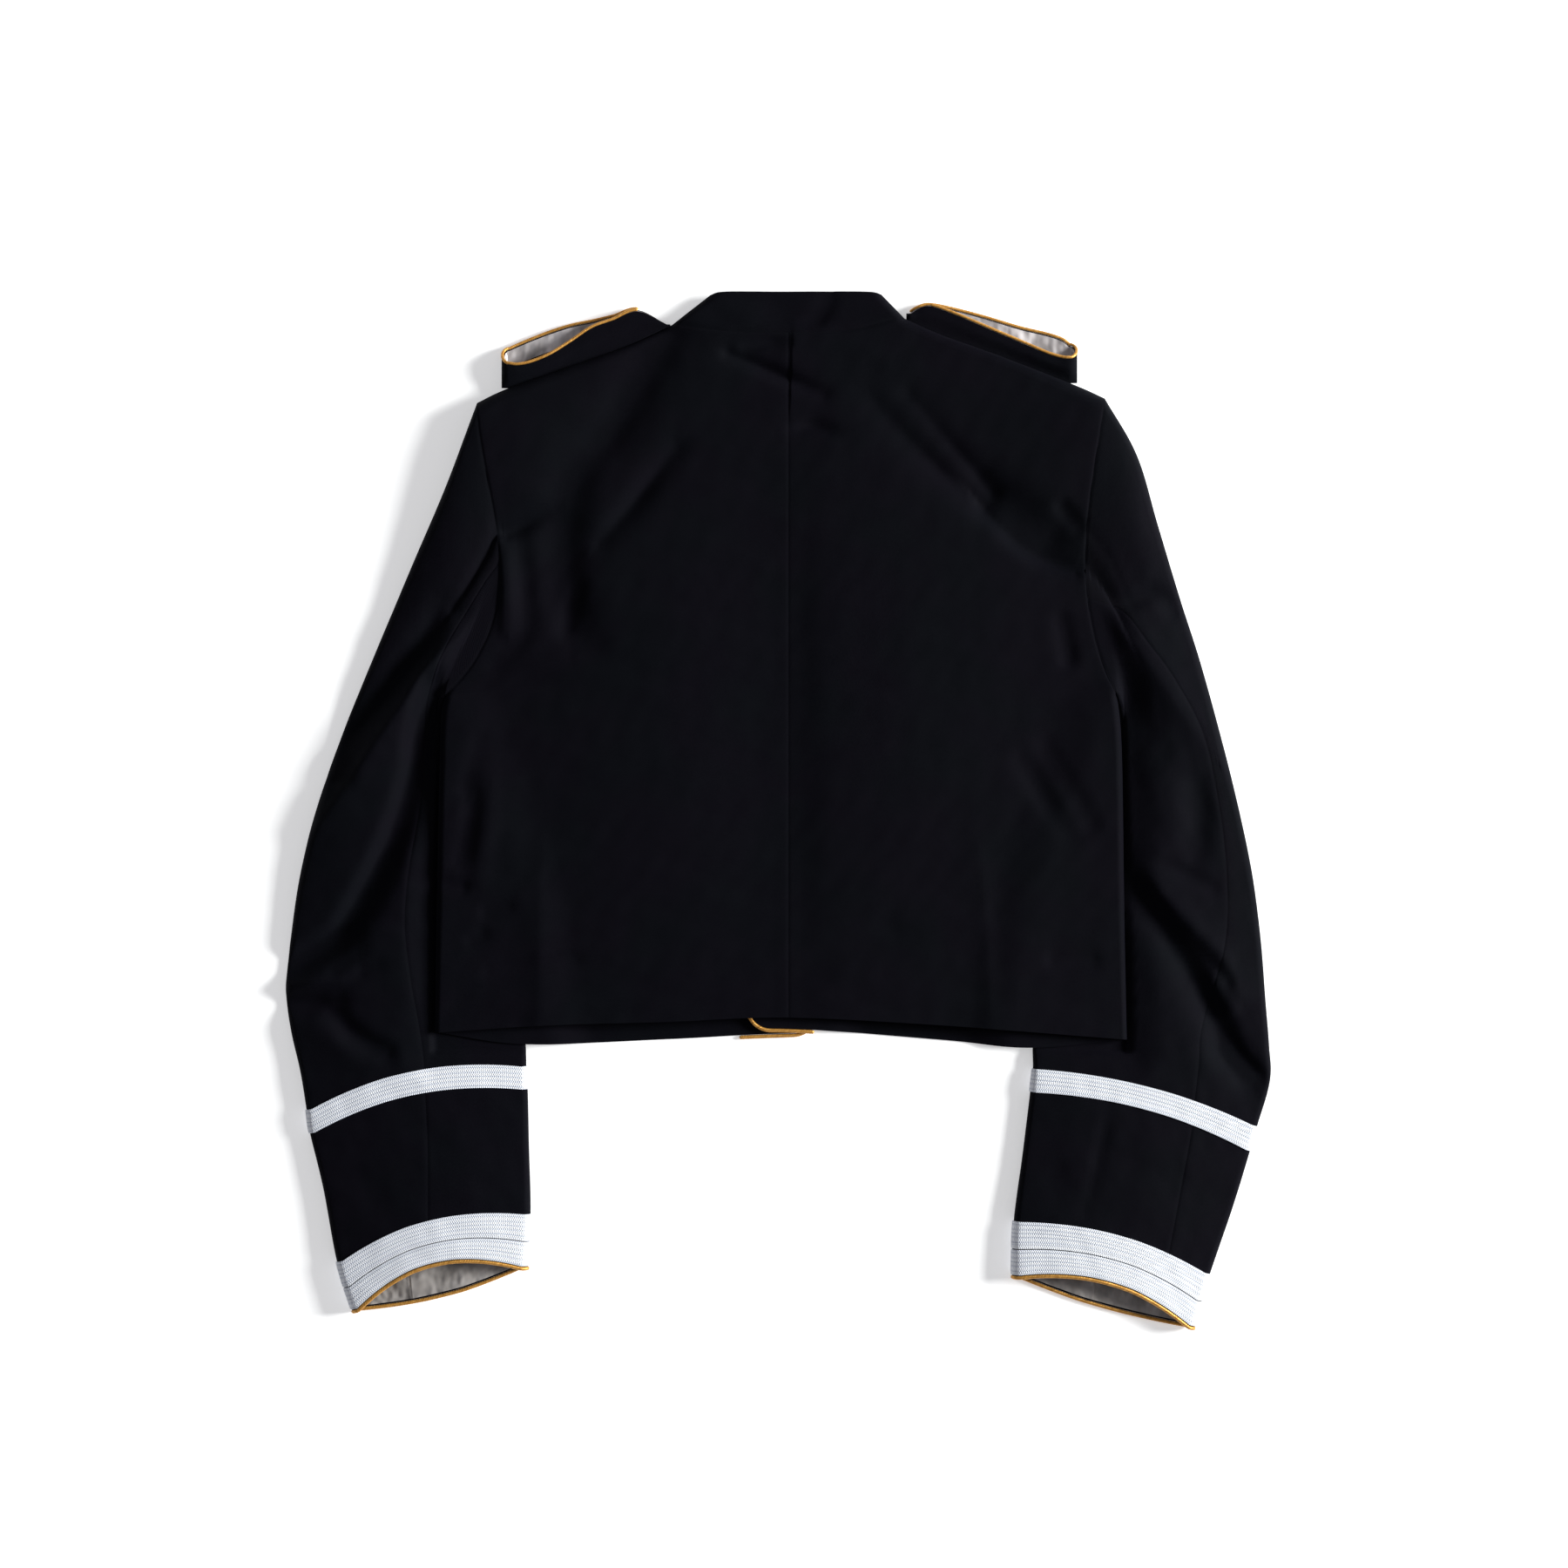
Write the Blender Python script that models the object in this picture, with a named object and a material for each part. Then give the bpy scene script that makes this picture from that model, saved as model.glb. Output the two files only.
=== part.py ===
"""A cropped black jacket with a stand collar, laid face down with its back uppermost.

The frame has +X towards the wearer's right, +Y towards the collar and +Z up. The origin is on the
surface that the jacket lies on, under the middle of its outline. Sizes are in millimetres and become
metres where a mesh is made.

Each body panel is a wall of cloth between four seam lines in plan. Its height comes from two
surfaces, ground() below and crown() above, which meet in a round fold along the side and shoulder
seams. Each sleeve is a flattened tube through a table of sections, tucked under the body's side.
The shoulder loops are flattened tubes too, sewn into the shoulder seams and open along the top.
"""

from collections import namedtuple

import bmesh
import bpy
import numpy as np

MM = 0.001
CLOTH = 1.5
COLLAR_CLOTH = 2.0
LOOP_CLOTH = 1.2
LINING = 0.9
BRAID = 1.0
CORD_RADIUS = 1.4
LOOP_CORD_RADIUS = 1.1
SEAM_GAP = 0.3

TUCK_HEIGHT = 6.0
BODY_LIFT = TUCK_HEIGHT + 0.5
LIFT_RAMP = 34.0
TUCK_MARGIN = 14.0
PRESS_START = 14.0
PRESS_REACH = 36.0
TRIM_CLEARANCE = 0.2
EDGE_SHARE = 0.66
LAST_SECTION = 16.0
HEAD_SECTIONS = 3.4
ARMHOLE_SECTIONS = 0.5
TURN_SECTIONS = 3.0

CENTRE_X = 7.5
LEFT_FRONT_EDGE_X = 25.5
RIGHT_FRONT_EDGE_X = -19.5
LAP_CLEARANCE = 3.8
LAP_MARGIN = 7.0
LAP_RAMP = 26.0
HEM_CORNER_RADIUS = 15.0
COLLAR_END_GAP = 1.0

CAP_SHARES = np.array([0.134, 0.5, 1.0])
UPPER_STEPS = 4
LOWER_OUTER_STEPS = 4
LOWER_INNER_STEPS = 2

CORNER_REACH = 0.4
FOLD_FLAT = 0.2

LEFT, RIGHT = -1, 1
BACK, FRONT = 1, -1
SIDE_NAMES = {LEFT: "left", RIGHT: "right"}

Section = namedtuple(
    "Section", "outer_x outer_y inner_x inner_y upper_bow lower_bow height rise seam front_seam"
)
Fold = namedtuple("Fold", "x1 y1 x2 y2 width height")
LoopRow = namedtuple("LoopRow", "x near_y far_y radius")

# Each sleeve from the armhole to the cuff. The outer fold is away from the body and the inner one is
# towards it. A bow is how far the middle of a section swings towards the cuff on that side, the rise
# is its underside above the surface, and the seams are the shares across where the back seam runs on
# top and the front seam runs underneath.
LEFT_SECTIONS = (
    Section(-206.1, 279.9, -228.3, 78.3, -26.5, -26.5, 17.0, 0.0, 0.53, 0.86),
    Section(-228.0, 222.0, -229.8, 74.2, -20.0, -20.0, 16.0, 0.0, 0.53, 0.85),
    Section(-250.0, 170.9, -230.8, 69.0, -13.0, -13.0, 15.5, 0.0, 0.58, 0.84),
    Section(-268.0, 128.5, -231.4, 61.5, -7.0, -7.0, 15.0, 0.0, 0.68, 0.82),
    Section(-285.0, 87.8, -231.6, 51.5, -2.0, -2.0, 15.0, 0.0, 0.77, 0.80),
    Section(-300.3, 49.5, -225.5, 32.0, 0.0, 0.0, 15.0, 0.0, 0.77, 0.77),
    Section(-317.1, 0.3, -214.5, 7.5, 0.0, 0.0, 15.0, 0.0, 0.7, 0.73),
    Section(-328.2, -44.7, -201.0, -29.0, 0.0, 0.0, 15.0, 0.0, 0.6, 0.69),
    Section(-334.5, -86.7, -190.5, -66.0, 0.0, 0.0, 14.5, 0.0, 0.55, 0.65),
    Section(-338.1, -122.7, -180.5, -111.0, -2.0, -2.0, 14.0, 0.0, 0.55, 0.60),
    Section(-334.5, -150.9, -175.3, -140.0, -6.0, -4.0, 13.0, 0.4, 0.55, 0.56),
    Section(-327.9, -179.7, -173.1, -161.7, -10.0, -7.0, 12.5, 1.1, 0.55, 0.52),
    Section(-323.7, -205.5, -172.5, -175.5, -12.0, -9.0, 12.0, 1.5, 0.555, 0.48),
    Section(-321.3, -221.7, -171.6, -191.1, -12.0, -9.0, 12.0, 1.5, 0.55, 0.46),
    Section(-312.3, -258.9, -170.7, -230.7, -12.0, -9.0, 12.5, 1.5, 0.53, 0.42),
    Section(-302.7, -309.9, -169.5, -276.9, -13.0, -4.0, 14.0, 1.5, 0.5, 0.37),
    Section(-292.5, -342.9, -171.3, -312.9, -18.5, 4.5, 15.0, 1.5, 0.49, 0.34),
)
RIGHT_SECTIONS = (
    Section(224.7, 282.9, 233.1, 78.3, -17.5, -17.5, 17.0, 0.0, 0.67, 0.84),
    Section(246.9, 243.9, 234.1, 74.2, -14.0, -14.0, 16.0, 0.0, 0.61, 0.85),
    Section(261.3, 196.5, 235.2, 69.0, -9.0, -9.0, 15.5, 0.0, 0.5, 0.86),
    Section(275.7, 149.1, 236.3, 61.5, -5.0, -5.0, 15.0, 0.0, 0.42, 0.87),
    Section(290.1, 104.1, 236.6, 51.5, -2.0, -2.0, 15.0, 0.0, 0.3, 0.88),
    Section(303.3, 56.7, 230.5, 32.0, 0.0, 0.0, 15.0, 0.0, 0.16, 0.88),
    Section(315.9, 6.9, 218.0, 7.5, 0.0, 0.0, 15.0, 0.0, 0.14, 0.87),
    Section(326.1, -41.7, 203.3, -29.0, 0.0, 0.0, 15.0, 0.0, 0.15, 0.86),
    Section(332.1, -86.7, 192.2, -66.0, 0.0, 0.0, 14.5, 0.0, 0.175, 0.84),
    Section(335.7, -131.7, 181.5, -116.0, -2.0, -2.0, 14.0, 0.0, 0.25, 0.81),
    Section(338.1, -161.7, 177.3, -143.7, -4.0, -4.0, 13.0, 0.4, 0.3, 0.78),
    Section(338.7, -185.7, 175.5, -162.9, -6.0, -6.0, 12.5, 1.1, 0.31, 0.74),
    Section(329.7, -216.9, 175.5, -177.3, -8.0, -8.0, 12.0, 1.5, 0.295, 0.70),
    Section(324.9, -233.7, 173.7, -192.9, -9.0, -9.0, 12.0, 1.5, 0.28, 0.67),
    Section(312.9, -272.7, 168.3, -236.7, -9.5, -9.0, 12.5, 1.5, 0.26, 0.63),
    Section(297.3, -318.3, 162.3, -281.7, -10.0, -4.0, 14.0, 1.5, 0.23, 0.58),
    Section(287.1, -354.3, 161.1, -318.9, -14.5, 3.0, 15.0, 1.5, 0.22, 0.55),
)
SECTIONS = {LEFT: LEFT_SECTIONS, RIGHT: RIGHT_SECTIONS}
ARMHOLE_SKEW = {LEFT: 0.67, RIGHT: 0.40}

# Seam lines of the body in plan.
SIDE_SEAM = {
    LEFT: ((-234.9, -152.1), (-233.7, -71.7), (-231.9, 18.3), (-230.7, 60.3), (-228.3, 78.3)),
    RIGHT: ((239.7, -156.9), (237.9, -71.7), (236.7, 18.3), (235.5, 54.3), (233.1, 78.3)),
}
SHOULDER_SEAM = {
    LEFT: ((-206.1, 279.9), (-187.5, 288.9), (-151.5, 302.1), (-106.5, 318.3), (-72.3, 333.9)),
    RIGHT: ((224.7, 282.9), (204.9, 291.9), (153.3, 312.3), (115.0, 326.0), (87.3, 338.1)),
}
BACK_NECK = ((-72.3, 333.9), (-37.5, 329.1), (7.5, 327.9), (50.0, 329.6), (87.3, 338.1))
FRONT_NECK = (
    (-72.3, 333.9), (-64.0, 313.0), (-40.0, 294.0), (7.5, 284.7),
    (55.0, 295.0), (79.0, 315.0), (87.3, 338.1),
)
BACK_HEM = (
    (-234.9, -152.1), (-160.5, -147.3), (-78.3, -144.9),
    (7.5, -141.9), (114.9, -147.3), (239.7, -156.9),
)
FRONT_HEM = {
    LEFT: ((-234.9, -152.1), (-172.5, -160.5), (-78.3, -157.5), (-20.0, -154.4), (25.5, -152.8)),
    RIGHT: ((-19.5, -149.4), (25.5, -150.8), (114.9, -158.0), (174.9, -162.9), (239.7, -156.9)),
}
HEM_CORD_RUN = {LEFT: 37.0, RIGHT: 30.0}
COLLAR_TOP_BACK = ((-46.5, 354.0), (-36.0, 356.1), (7.5, 356.1), (60.0, 356.1), (71.7, 354.4))
COLLAR_TOP_FRONT = (
    (-46.5, 354.0), (-38.0, 336.0), (-20.0, 321.0), (7.5, 315.0),
    (38.0, 321.0), (60.0, 336.0), (71.7, 354.4),
)

# How thick the body lies between its two layers, from the hem up, at its middle.
LOFT_ROWS = ((-160.0, 11.5), (-60.0, 13.5), (80.0, 14.0), (200.0, 14.5), (280.0, 14.0), (345.0, 13.0))
SIDE_LOFT_LOSS = 3.0
SIDE_LOFT_START, SIDE_LOFT_REACH = 120.0, 80.0
PAD_HEIGHT, PAD_REACH = 6.5, 55.0
PADS = ((-196.0, 255.0), (214.0, 258.0))

BODY_FOLDS = (
    Fold(-34.0, 313.0, 32.0, 286.0, 6.0, -1.6),
    Fold(-75.0, 322.0, -106.0, 264.0, 20.0, -1.8),
    Fold(-106.0, 264.0, -140.0, 176.0, 18.0, -1.8),
    Fold(-119.0, 184.0, -66.0, 249.0, 7.0, -1.6),
    Fold(-182.0, 190.0, -152.0, 206.0, 8.0, -2.2),
    Fold(-172.0, 180.0, -170.0, 141.0, 8.0, -2.2),
    Fold(-170.0, 141.0, -190.0, 101.0, 9.0, -2.2),
    Fold(-184.0, 172.0, -182.0, 128.0, 8.0, 1.4),
    Fold(70.0, 285.0, 146.0, 204.0, 13.0, -2.2),
    Fold(146.0, 204.0, 196.0, 173.0, 15.0, -2.6),
    Fold(-201.0, 47.0, -214.0, -34.0, 11.0, -1.8),
    Fold(178.0, 39.0, 208.0, -12.0, 11.0, -1.8),
    Fold(-162.0, -18.0, -162.0, -140.0, 10.0, 1.6),
    Fold(147.0, -24.0, 146.0, -148.0, 10.0, 1.6),
    Fold(7.5, 240.0, 10.0, -130.0, 26.0, -0.9),
)
SLEEVE_FOLDS = {
    LEFT: (
        Fold(-212.0, 121.0, -253.0, 76.0, 13.0, 4.0),
        Fold(-253.0, 76.0, -291.0, 22.0, 17.0, 4.5),
        Fold(-291.0, 22.0, -322.0, -20.0, 14.0, 3.0),
        Fold(-214.0, 139.0, -239.0, 117.0, 9.0, -3.0),
        Fold(-239.0, 117.0, -293.0, 48.0, 10.0, -4.0),
        Fold(-233.0, 74.0, -245.0, 17.0, 13.0, -4.0),
        Fold(-245.0, 17.0, -269.0, -38.0, 15.0, -6.0),
        Fold(-269.0, -38.0, -286.0, -71.0, 14.0, -6.5),
        Fold(-286.0, -71.0, -334.0, -105.0, 11.0, -5.5),
        Fold(-333.0, -119.0, -300.0, -116.0, 6.0, 2.5),
        Fold(-332.0, -133.0, -303.0, -132.0, 9.0, -4.0),
        Fold(-300.0, -139.0, -266.0, -165.0, 8.0, -2.5),
        Fold(-250.0, -60.0, -262.0, -110.0, 18.0, 1.8),
    ),
    RIGHT: (
        Fold(247.0, 243.0, 213.0, 206.0, 9.0, -3.5),
        Fold(218.0, 148.0, 274.0, 137.0, 7.0, -2.6),
        Fold(222.0, 141.0, 253.0, 104.0, 12.0, 3.2),
        Fold(253.0, 104.0, 297.0, 40.0, 14.0, 3.6),
        Fold(226.0, 112.0, 239.0, 91.0, 10.0, -3.0),
        Fold(239.0, 91.0, 264.0, 43.0, 11.0, -4.0),
        Fold(290.0, 17.0, 290.0, -27.0, 11.0, -2.4),
        Fold(244.0, -30.0, 283.0, -79.0, 9.0, 2.6),
        Fold(283.0, -79.0, 316.0, -125.0, 9.0, 2.8),
        Fold(244.0, -46.0, 265.0, -68.0, 9.0, -3.2),
        Fold(265.0, -68.0, 312.0, -154.0, 10.0, -5.0),
        Fold(312.0, -154.0, 327.0, -180.0, 9.0, -4.5),
    ),
}

# The shoulder loops from their round outer end to the neck: the free edges of the near and the far
# wall in plan, and half the thickness of the loop. Their lower edge is the shoulder seam.
LOOP_ROWS = {
    LEFT: (
        LoopRow(-188.1, 308.0, 310.8, 5.4),
        LoopRow(-181.5, 306.6, 314.8, 5.4),
        LoopRow(-170.7, 307.0, 320.2, 5.4),
        LoopRow(-155.7, 312.3, 328.5, 5.0),
        LoopRow(-141.3, 321.3, 332.9, 4.6),
        LoopRow(-126.9, 330.9, 335.9, 4.2),
        LoopRow(-112.5, 336.3, 339.3, 3.8),
        LoopRow(-95.7, 342.6, 344.1, 3.3),
        LoopRow(-81.0, 338.4, 339.0, 3.0),
    ),
    RIGHT: (
        LoopRow(205.2, 311.7, 314.7, 5.4),
        LoopRow(197.7, 309.9, 320.1, 5.4),
        LoopRow(185.1, 313.5, 325.5, 5.2),
        LoopRow(165.9, 321.3, 331.5, 4.8),
        LoopRow(141.9, 331.5, 338.7, 4.4),
        LoopRow(120.9, 340.5, 344.1, 3.9),
        LoopRow(104.7, 346.2, 347.1, 3.5),
        LoopRow(97.0, 344.4, 345.3, 3.2),
        LoopRow(91.5, 341.0, 342.0, 3.0),
    ),
}
LOOP_BASE_RADIUS = LOOP_CLOTH + 0.25
LOOP_SEAM_GAP = 0.8
LOOP_HEIGHT_SHARES = (0.0, 0.28, 0.62, 1.0)
LOOP_TURNS = (60.0, 30.0, 0.0, -30.0, -60.0)
LOOP_CORD_ROWS = {LEFT: (7, 7), RIGHT: (6, 8)}
LOOP_LINING_HEIGHTS = (0.62, 0.8, 0.97)
LOOP_LINING = 0.7

# Where the rows and columns of the panels run, as shares of their edges. The side seam ends and the
# armhole starts at the underarm's share, and the neck ends and the shoulder seam starts at the neck's.
UNDERARM_SHARE = 0.48
NECK_SHARE = 0.40
SIDE_ROWS = np.array([0.0, 0.09, 0.19, 0.29, 0.37, 0.42, 0.455])
SHOULDER_COLUMNS = np.array([0.2, 0.4, 0.52, 0.64, 0.76, 0.86, 0.93, 0.965, 0.986, 0.9965, 1.0])
NECK_COLUMNS = {
    BACK: np.array([0.0, 0.25, 0.5, 0.75, 0.9, 0.97, 1.0]),
    FRONT: np.array([0.0, 0.06, 0.12, 0.18, 0.24, 0.5, 0.63, 0.75, 0.86, 0.94, 0.985, 1.0]),
}

COLLAR_FOOT_HEIGHT = 13.0
COLLAR_EDGE_HEIGHT = 11.0
COLLAR_ROWS = np.array([0.0, 0.12, 0.35, 0.7, 1.0])

# What is built round a sleeve, in sections counted from the armhole at 0 to the cuff at 16.
SHELL_SECTIONS = (0, 0.4, 1, 2, 3, 4, 5, 6, 7, 8, 9, 10, 11, 12, 13, 14, 15, 16)
BRAID_BANDS = {
    "braid_forearm": (12.0, 13.0),
    "braid_cuff_upper": (15.0, 15.49),
    "braid_cuff_lower": (15.51, 15.985),
}
CUFF_LINING_SECTIONS = (14.4, 15.0, 15.97)
CUFF_CORD_INSET = 0.6


def smoothstep(share):
    """A ramp from 0 to 1 with level ends."""
    share = np.clip(share, 0.0, 1.0)
    return share * share * (3.0 - 2.0 * share)


def spline_rows(rows, positions):
    """Rows of numbers read at fractional row positions, on a smooth curve through them all."""
    rows = np.asarray(rows, float)
    padded = np.vstack([2 * rows[0] - rows[1], rows, 2 * rows[-1] - rows[-2]])
    positions = np.clip(np.atleast_1d(positions).astype(float), 0, len(rows) - 1)
    start = np.minimum(positions.astype(int), len(rows) - 2)
    t = (positions - start)[:, None]
    p0, p1, p2, p3 = (padded[start + i] for i in range(4))
    cubic = -p0 + 3 * p1 - 3 * p2 + p3
    square = 2 * p0 - 5 * p1 + 4 * p2 - p3
    return 0.5 * (2 * p1 + (p2 - p0) * t + square * t**2 + cubic * t**3)


class Outline:
    """A smooth line in plan through a few points, read by its share of length."""

    def __init__(self, points, steps=10):
        count = (len(points) - 1) * steps + 1
        self.points = spline_rows(points, np.linspace(0, len(points) - 1, count))
        lengths = np.linalg.norm(np.diff(self.points, axis=0), axis=1)
        self.length = lengths.sum()
        self.shares = np.concatenate([[0.0], np.cumsum(lengths)]) / self.length

    def at(self, share):
        """Plan points at shares of the line's length."""
        return np.stack([np.interp(share, self.shares, self.points[:, i]) for i in (0, 1)], axis=-1)

    def share_at_x(self, x):
        """The share of length at which the line passes x."""
        order = np.argsort(self.points[:, 0])
        return float(np.interp(x, self.points[order, 0], self.shares[order]))

    def y_at(self, x):
        """How far up the line lies at x."""
        order = np.argsort(self.points[:, 0])
        return float(np.interp(x, self.points[order, 0], self.points[order, 1]))

    def nearest(self, xy):
        """Distance from each plan point to the line, and the nearest point on it."""
        start, end = self.points[:-1], self.points[1:]
        step = end - start
        offset = xy[..., None, :] - start
        along = np.clip((offset * step).sum(-1) / (step * step).sum(-1), 0.0, 1.0)
        foot = start + along[..., None] * step
        gaps = np.linalg.norm(xy[..., None, :] - foot, axis=-1)
        best = gaps.argmin(axis=-1)
        foot = np.take_along_axis(foot, best[..., None, None], axis=-2)[..., 0, :]
        return np.take_along_axis(gaps, best[..., None], axis=-1)[..., 0], foot


def fold_relief(xy, folds):
    """Height that a table of straight soft folds adds at plan points."""
    total = np.zeros(xy.shape[:-1])
    for fold in folds:
        start = np.array([fold.x1, fold.y1])
        run = np.array([fold.x2, fold.y2]) - start
        share = np.clip(((xy - start) @ run) / (run @ run), 0.0, 1.0)
        gap = np.linalg.norm(xy - start - share[..., None] * run, axis=-1)
        taper = np.sin(np.pi * (0.14 + 0.72 * share))
        total += fold.height * taper * np.exp(-((gap / fold.width) ** 2))
    return total


SIDE_LINES = {side: Outline(points) for side, points in SIDE_SEAM.items()}
SHOULDER_LINES = {side: Outline(points) for side, points in SHOULDER_SEAM.items()}
TUCK_LINES = {
    side: Outline([(row.inner_x, row.inner_y) for row in rows[4:12]]) for side, rows in SECTIONS.items()
}
ROLLED_LINES = [*SIDE_LINES.values(), *SHOULDER_LINES.values()]


def tuck_distance(xy, side):
    """How far a plan point of the body lies from the sleeve tucked under it, 0 over the sleeve."""
    line = TUCK_LINES[side]
    gap, _ = line.nearest(xy)
    order = np.argsort(line.points[:, 1])
    edge_x = np.interp(xy[..., 1], line.points[order, 1], line.points[order, 0]) * side
    inside = (xy[..., 0] * side > edge_x) & (xy[..., 1] < line.points[0, 1])
    return np.where(inside, 0.0, np.maximum(gap - TUCK_MARGIN, 0.0))


def ground(xy):
    """Height of the underside of the body: flat, but lifted over the tucked part of each sleeve."""
    lifts = [1.0 - smoothstep(tuck_distance(xy, side) / LIFT_RAMP) for side in (LEFT, RIGHT)]
    return BODY_LIFT * np.maximum(*lifts)


def crown(xy):
    """Height of the outer face of the back."""
    ys, lofts = zip(*LOFT_ROWS)
    loft = np.interp(xy[..., 1], ys, lofts)
    sideways = np.abs(xy[..., 0] - CENTRE_X)
    loft = loft - SIDE_LOFT_LOSS * smoothstep((sideways - SIDE_LOFT_START) / SIDE_LOFT_REACH)
    for pad in PADS:
        gap = np.linalg.norm(xy - np.array(pad), axis=-1)
        loft = loft + PAD_HEIGHT * np.exp(-((gap / PAD_REACH) ** 2))
    return ground(xy) + loft + fold_relief(xy, BODY_FOLDS)


def nearest_fold(xy, lines):
    """Distance to the nearest of some lines, and the unit direction towards it in plan."""
    gaps, feet = zip(*(line.nearest(xy) for line in lines))
    best = np.argmin(gaps, axis=0)
    gap = np.choose(best, gaps)
    foot = np.stack([np.choose(best, [f[..., i] for f in feet]) for i in (0, 1)], axis=-1)
    away = foot - xy
    return gap, away / np.maximum(np.linalg.norm(away, axis=-1, keepdims=True), 1e-6)


def rolled(low, high, gap):
    """Middle height, half height and slope of a layer that rolls over into a fold at a distance."""
    middle, radius = (low + high) / 2, (high - low) / 2
    near = np.clip(1.0 - (gap - FOLD_FLAT) / radius, 0.0, 1.0)
    level = np.sqrt(1.0 - near**2)
    return middle, radius * level, near, level


def body_point(xy, layer, over=0.0):
    """Point and outward direction on the body, where the layer is BACK or FRONT."""
    gap, outward = nearest_fold(xy, ROLLED_LINES)
    middle, half, near, level = rolled(ground(xy), crown(xy), gap)
    from_middle = xy - np.array([CENTRE_X, 60.0])
    from_middle = from_middle / np.linalg.norm(from_middle, axis=-1, keepdims=True)
    outward = np.where(gap[..., None] > 0.05, outward, from_middle)
    for corner, direction in corner_directions(layer):
        at_corner = np.linalg.norm(xy - corner, axis=-1, keepdims=True) < CORNER_REACH
        outward = np.where(at_corner, direction, outward)
    z = middle + layer * np.maximum(half, SEAM_GAP / 2) + over
    point = np.concatenate([xy, z[..., None]], axis=-1)
    direction = np.concatenate([outward * near[..., None], (layer * level)[..., None]], axis=-1)
    return point, direction


def corner_directions(layer):
    """Where a seam line meets a fold, with the direction outward along that seam line."""
    found = []
    for side in (LEFT, RIGHT):
        ends = armhole_at(side, np.array([0.0, 0.02, 0.98, 1.0]))
        neck = half_neck(side, layer)(np.array([0.98, 1.0]))
        for near, corner in ((ends[1], ends[0]), (ends[2], ends[3]), neck):
            found.append((corner, (corner - near) / np.linalg.norm(corner - near)))
    return found


def lap_lift(xy):
    """Extra height of the right front where it laps over the left one and its cord."""
    past = xy[..., 0] - (LEFT_FRONT_EDGE_X + 2 * CORD_RADIUS + LAP_MARGIN)
    return LAP_CLEARANCE * (1.0 - smoothstep(past / LAP_RAMP))


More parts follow.
